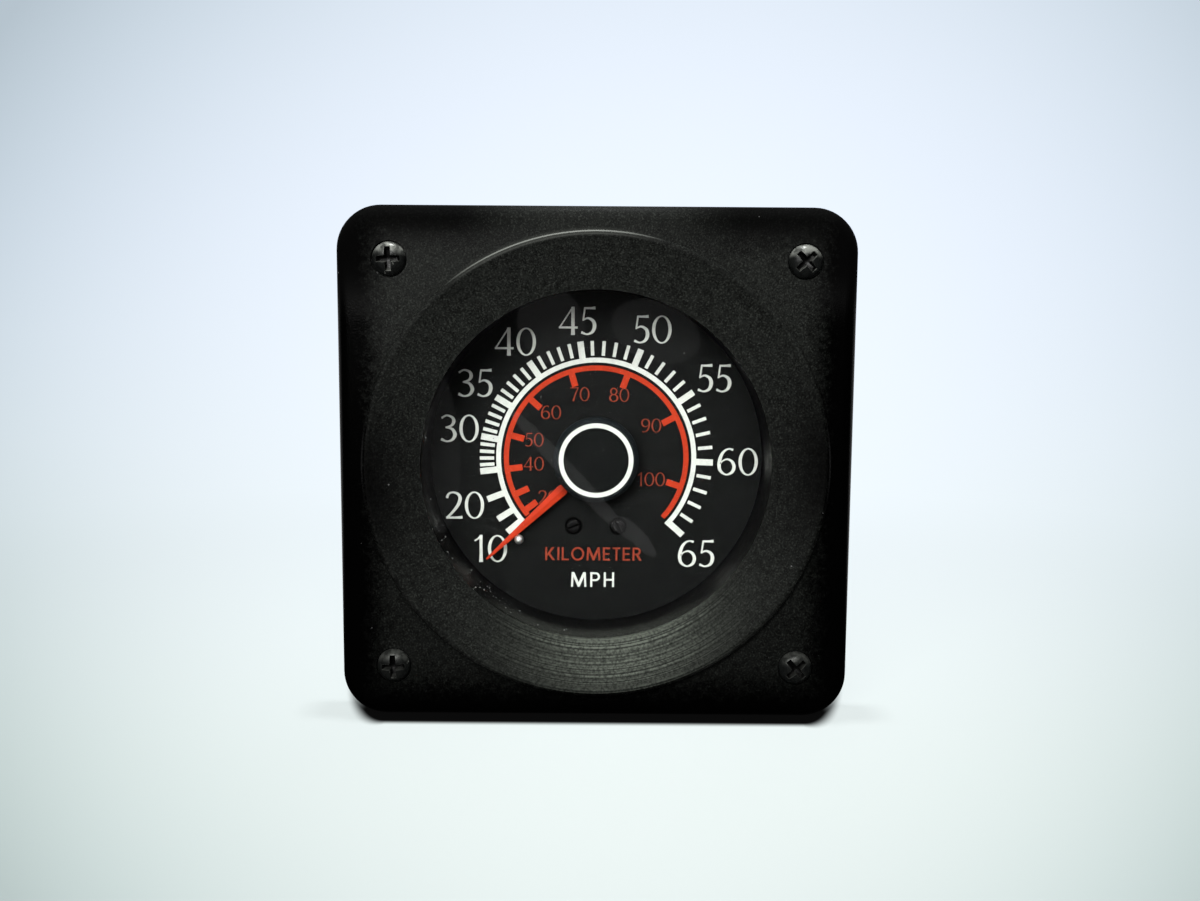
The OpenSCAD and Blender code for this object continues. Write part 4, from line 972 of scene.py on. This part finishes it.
def make_inlet():
    at = (0, -25.5)
    nut = hexagon("hex_nut", 14.3, 37.7, 42.7, at)
    bore = lathe("bore", [(0, 37), (5.2, 37), (5.2, 37.75), (4.76, 38.2), (4.76, 42.2), (5.2, 42.65), (5.2, 43.2),
                          (0, 43.2)], at)
    combine(nut, bore, "DIFFERENCE")
    soften(nut, 0.12, 25)
    edit(nut, clear_slivers)
    smooth(nut, 25)
    fit(nut, "brass", "inlet_nut")
    stem = thread("stem_thread", 4.94, 4.7, 0.94, 41.5, 45.9, at, chamfer=0.25, steps=32)
    smooth(stem, 30)
    fit(stem, "brass")

    nipple = hexagon("barbed_nipple", 9.5, 46, 50, at)
    barbs = [(0, 42), (2.7, 42), (2.7, 52.5)]
    for i in range(3):
        y = 52.5 + 4.2 * i
        barbs += [(3.2, y), (3.3, y + 0.1), (3.3, y + 0.8), (2.7, y + 3.6)]
        if i < 2:
            barbs.append((2.7, y + 4.2))
    barbs += [(2.7, 64.6), (2.4, 65.1), (0, 65.1)]
    combine(nipple, lathe("barbs", barbs, at))
    combine(nipple, lathe("bore", [(0, 41), (1.5, 41), (1.5, 64.9), (1.7, 65.2), (0, 65.2)], at, steps=32),
            "DIFFERENCE")
    smooth(nipple, 28)
    fit(nipple, "brass", "hose_nipple")


def make_lamp_socket():
    at, sides = (-13.5, 17.4), (-2.5, 2.5)
    socket = lathe("lamp_holder", [(0, 34), (5.1, 34), (5.1, 31), (5.9, 31), (6.25, 31.4), (6.25, 36.4),
                                   (7.7, 36.4), (8, 36.8), (8, 38.1), (7.6, 38.5), (5.8, 38.7), (5.8, 45.9),
                                   (5.2, 46.5), (0, 46.5)], at)
    for i in range(12):
        angle = math.radians(30 * i + 15)
        groove = lathe("groove", [(0, 39.6), (0.45, 39.6), (0.45, 47), (0, 47)],
                       (at[0] + 5.95 * math.cos(angle), at[1] + 5.95 * math.sin(angle)), steps=12)
        combine(socket, groove, "DIFFERENCE")
    for side in sides:
        mouth = block("mouth", (at[0] + side - 0.55, 45.6, at[1] - 3.4), (at[0] + side + 0.55, 47, at[1] + 3.4))
        combine(socket, mouth, "DIFFERENCE")
    smooth(socket, 30)
    fit(socket, "socket_plastic", "lamp_socket")
    blades = []
    for side in sides:
        blade = block("blade", (at[0] + side - 0.4, 41.5, at[1] - 3.15), (at[0] + side + 0.4, 54.5, at[1] + 3.15))
        for v in blade.data.vertices:
            if v.co.y > 0.05:
                v.co.z += (at[1] * MM - v.co.z) * 0.3
        soften(blade, 0.25)
        bpy.ops.mesh.primitive_cylinder_add(vertices=24, radius=0.8 * MM, depth=3 * MM,
                                            rotation=(0, math.pi / 2, 0),
                                            location=((at[0] + side) * MM, 51 * MM, at[1] * MM))
        hole = bpy.context.object
        settle(hole)
        combine(blade, hole, "DIFFERENCE")
        blades.append(blade)
    blades = join(blades, "blade_terminals")
    smooth(blades, 30)
    fit(blades, "tinned_terminal", "lamp_terminals")


make_studs()
make_inlet()
make_lamp_socket()


# Camera, lights, floor and backdrop

camera_data = bpy.data.cameras.new("camera")
camera_data.lens, camera_data.sensor_width, camera_data.clip_start = 33.0, 36.0, 0.01
camera = add_object("camera", camera_data)
camera.matrix_world = (Matrix.Translation(CAMERA_PLACE) @ Matrix.Rotation(math.radians(90 - CAMERA_DOWN), 4, "X")
                       @ Matrix.Rotation(math.radians(CAMERA_ROLL), 4, "Z"))
bpy.context.scene.camera = camera


def soft_light(name, place, width, height, watts, colour=(1, 1, 1)):
    """A rectangular lamp turned to face the gauge. The camera doesn't see it."""
    data = bpy.data.lights.new(name, "AREA")
    data.shape, data.size, data.size_y, data.energy, data.color = "RECTANGLE", width, height, watts, colour
    light = add_object(name, data)
    aim = Vector() - Vector(place)
    light.matrix_world = Matrix.Translation(place) @ aim.to_track_quat("-Z", "Y").to_matrix().to_4x4()
    light.visible_camera = False
    return light


soft_light("front_softbox", (-0.20, -0.70, 0.30), 0.45, 0.25, 4.4, (1.0, 1.0, 0.98))
soft_light("high_front_lamp", (0.04, -0.595, 0.535), 0.2, 0.14, 1.7)
soft_light("overhead_lamp", (0.0, 0.0, 0.75), 0.05, 0.03, 3.6, (0.98, 0.99, 1.0))
soft_light("rear_softbox", (0.3, 0.9, 0.5), 0.6, 0.5, 0.9)


def card(name, across, down, long, wide, tilt, glow, y=-0.6):
    """A dim card out in front of the gauge at depth y, seen only as its reflection in the lens, needle and
    hub. Its mirrored middle lies along the slopes (across, down) from the camera."""
    reach = 2 * LENS_FRONT_Y * MM - CAMERA_PLACE[1] - y
    light = soft_light(name, (CAMERA_PLACE[0] + across * reach, y, CAMERA_PLACE[2] - down * reach),
                       long, wide, glow * math.pi * long * wide)
    light.data.shape = "ELLIPSE"
    light.matrix_world = (Matrix.Translation(light.location) @ Matrix.Rotation(math.radians(90), 4, "X")
                          @ Matrix.Rotation(math.radians(tilt), 4, "Z"))


card("long_card", -0.027, 0.129, 0.065, 0.0058, -47, 0.15, -0.15)
card("leaf_card", 0.0355, 0.187, 0.019, 0.0053, -48, 0.17, -0.15)
card("left_card", -0.152, 0.104, 0.018, 0.062, 4, 0.05, -0.15)
card("upper_left_card", -0.045, -0.007, 0.05, 0.06, 20, 0.06)
card("upper_right_card", 0.05, -0.002, 0.07, 0.045, -20, 0.06)


def make_backdrop_colour():
    """The backdrop's pale colours by direction from one fixed place: whitest round the gauge, greyer
    towards the corners of the frame, a little bluer upwards."""
    tree, given, result = effect("backdrop_colour", [("Way", None)], [("Colour", "Color")])
    x, y, z = split(given["Way"])
    depth = most(y, 0.25)
    up = maths("DIVIDE", z, depth)
    across = minus(minus(maths("DIVIDE", x, depth), 0.03), times(most(up, 0.0), 0.1))
    rise = plus(up, 0.134)
    spread = plus(0.89, times(unsigned(plus(up, 0.1)), 0.365))
    squares = plus(times(across, across, spread), times(rise, rise, ramp(up, -0.2, 0.2, 0.8, 0.95)))
    level = most(minus(0.985, maths("POWER", squares, 1.2)), 0.55)
    blue = ramp(up, -0.45, 0.15, 0.985, 1.12)
    red = ramp(level, 0.5, 1.0, 0.85, 0.92)
    tinted = wire(tree, "CombineColor", {0: times(level, red), 1: level, 2: times(level, blue)})
    feed(result, {"Colour": tinted.outputs[0]})
    return tree


BACKDROP_COLOUR = make_backdrop_colour()


def floor_finish():
    """A pale sheet that keeps the gauge's shadow near it, with a painted contact shadow at the gauge's foot, and
    runs into the backdrop further away.
    """
    material = bpy.data.materials.new("pale_sheet")
    material.use_nodes = True
    tree = material.node_tree
    tree.nodes.remove(tree.nodes["Principled BSDF"])
    place = piece_coordinates(tree)
    way = unit(vector_maths("SUBTRACT", place, CAMERA_PLACE)[0])
    pale = apply_effect(tree, BACKDROP_COLOUR, Way=way)["Colour"]
    x, y, _ = split(place)
    rays = wire(tree, "LightPath").outputs
    reach = maths("SQRT", plus(times(x, x), times(y, y)))

    # painted contact shadow: a dark line in front of the gauge's foot, drawn back and faded towards its ends
    aside = most(minus(unsigned(x), 0.0472), 0.0)
    ahead = minus(plus(times(aside, aside, 180.0), -0.0118), y)
    clear = most(ramp(ahead, 0.0009, plus(times(aside, 0.8), 0.0039)), ramp(aside, 0.006, 0.016),
                 ramp(y, 0.003, 0.02))
    shown = blend_colour(clear, grey(0.004), pale)

    # near the gauge the sheet takes some light and shade; further off it only glows like the backdrop
    near_pale = wire(tree, "VectorMath", {0: shown, "Scale": ramp(unsigned(x), 0.02, 0.09, 0.84, 0.93)},
                     operation="SCALE").outputs[0]
    lit = wire(tree, "BsdfDiffuse", {0: near_pale}).outputs[0]
    glow = wire(tree, "Emission", {0: shown, 1: 1.0}).outputs[0]
    seen = blend_shader(ramp(reach, 0.12, 0.4, 0.75, 1.0), lit, glow)
    mirror_colour = blend_colour(ramp(y, 0.02, 0.15), grey(0.012), grey(0.7))
    mirrored = wire(tree, "Emission", {0: mirror_colour, 1: 1.0}).outputs[0]
    bounced = wire(tree, "BsdfDiffuse", {0: grey(0.35)}).outputs[0]
    other = blend_shader(rays["Is Glossy Ray"], bounced, mirrored)
    feed(tree.nodes["Material Output"], {"Surface": blend_shader(rays["Is Camera Ray"], other, seen)})
    return material


bpy.ops.mesh.primitive_circle_add(vertices=96, radius=6.0, fill_type="NGON", location=(0, 0, FLOOR_Z * MM))
floor = bpy.context.object
floor.name = "floor_sheet"
settle(floor)
floor.data.materials.append(floor_finish())

world = bpy.data.worlds.new("studio")
bpy.context.scene.world = world
world.use_nodes = True
room = world.node_tree
way = wire(room, "TexCoord").outputs["Generated"]
facing = split(way)[1]
rays = wire(room, "LightPath").outputs
mirrored = blend_colour(ramp(facing, 0.15, 0.7), grey(0.015), grey(0.7))
soft = blend_colour(ramp(facing, -0.2, 0.6), grey(0.09), grey(0.4))
around = blend_colour(rays["Is Glossy Ray"], soft, mirrored)
shade = blend_colour(rays["Is Camera Ray"], around, apply_effect(room, BACKDROP_COLOUR, Way=way)["Colour"])
feed(room.nodes["Background"], {"Color": shade})

bpy.context.scene.view_settings.view_transform = "Standard"
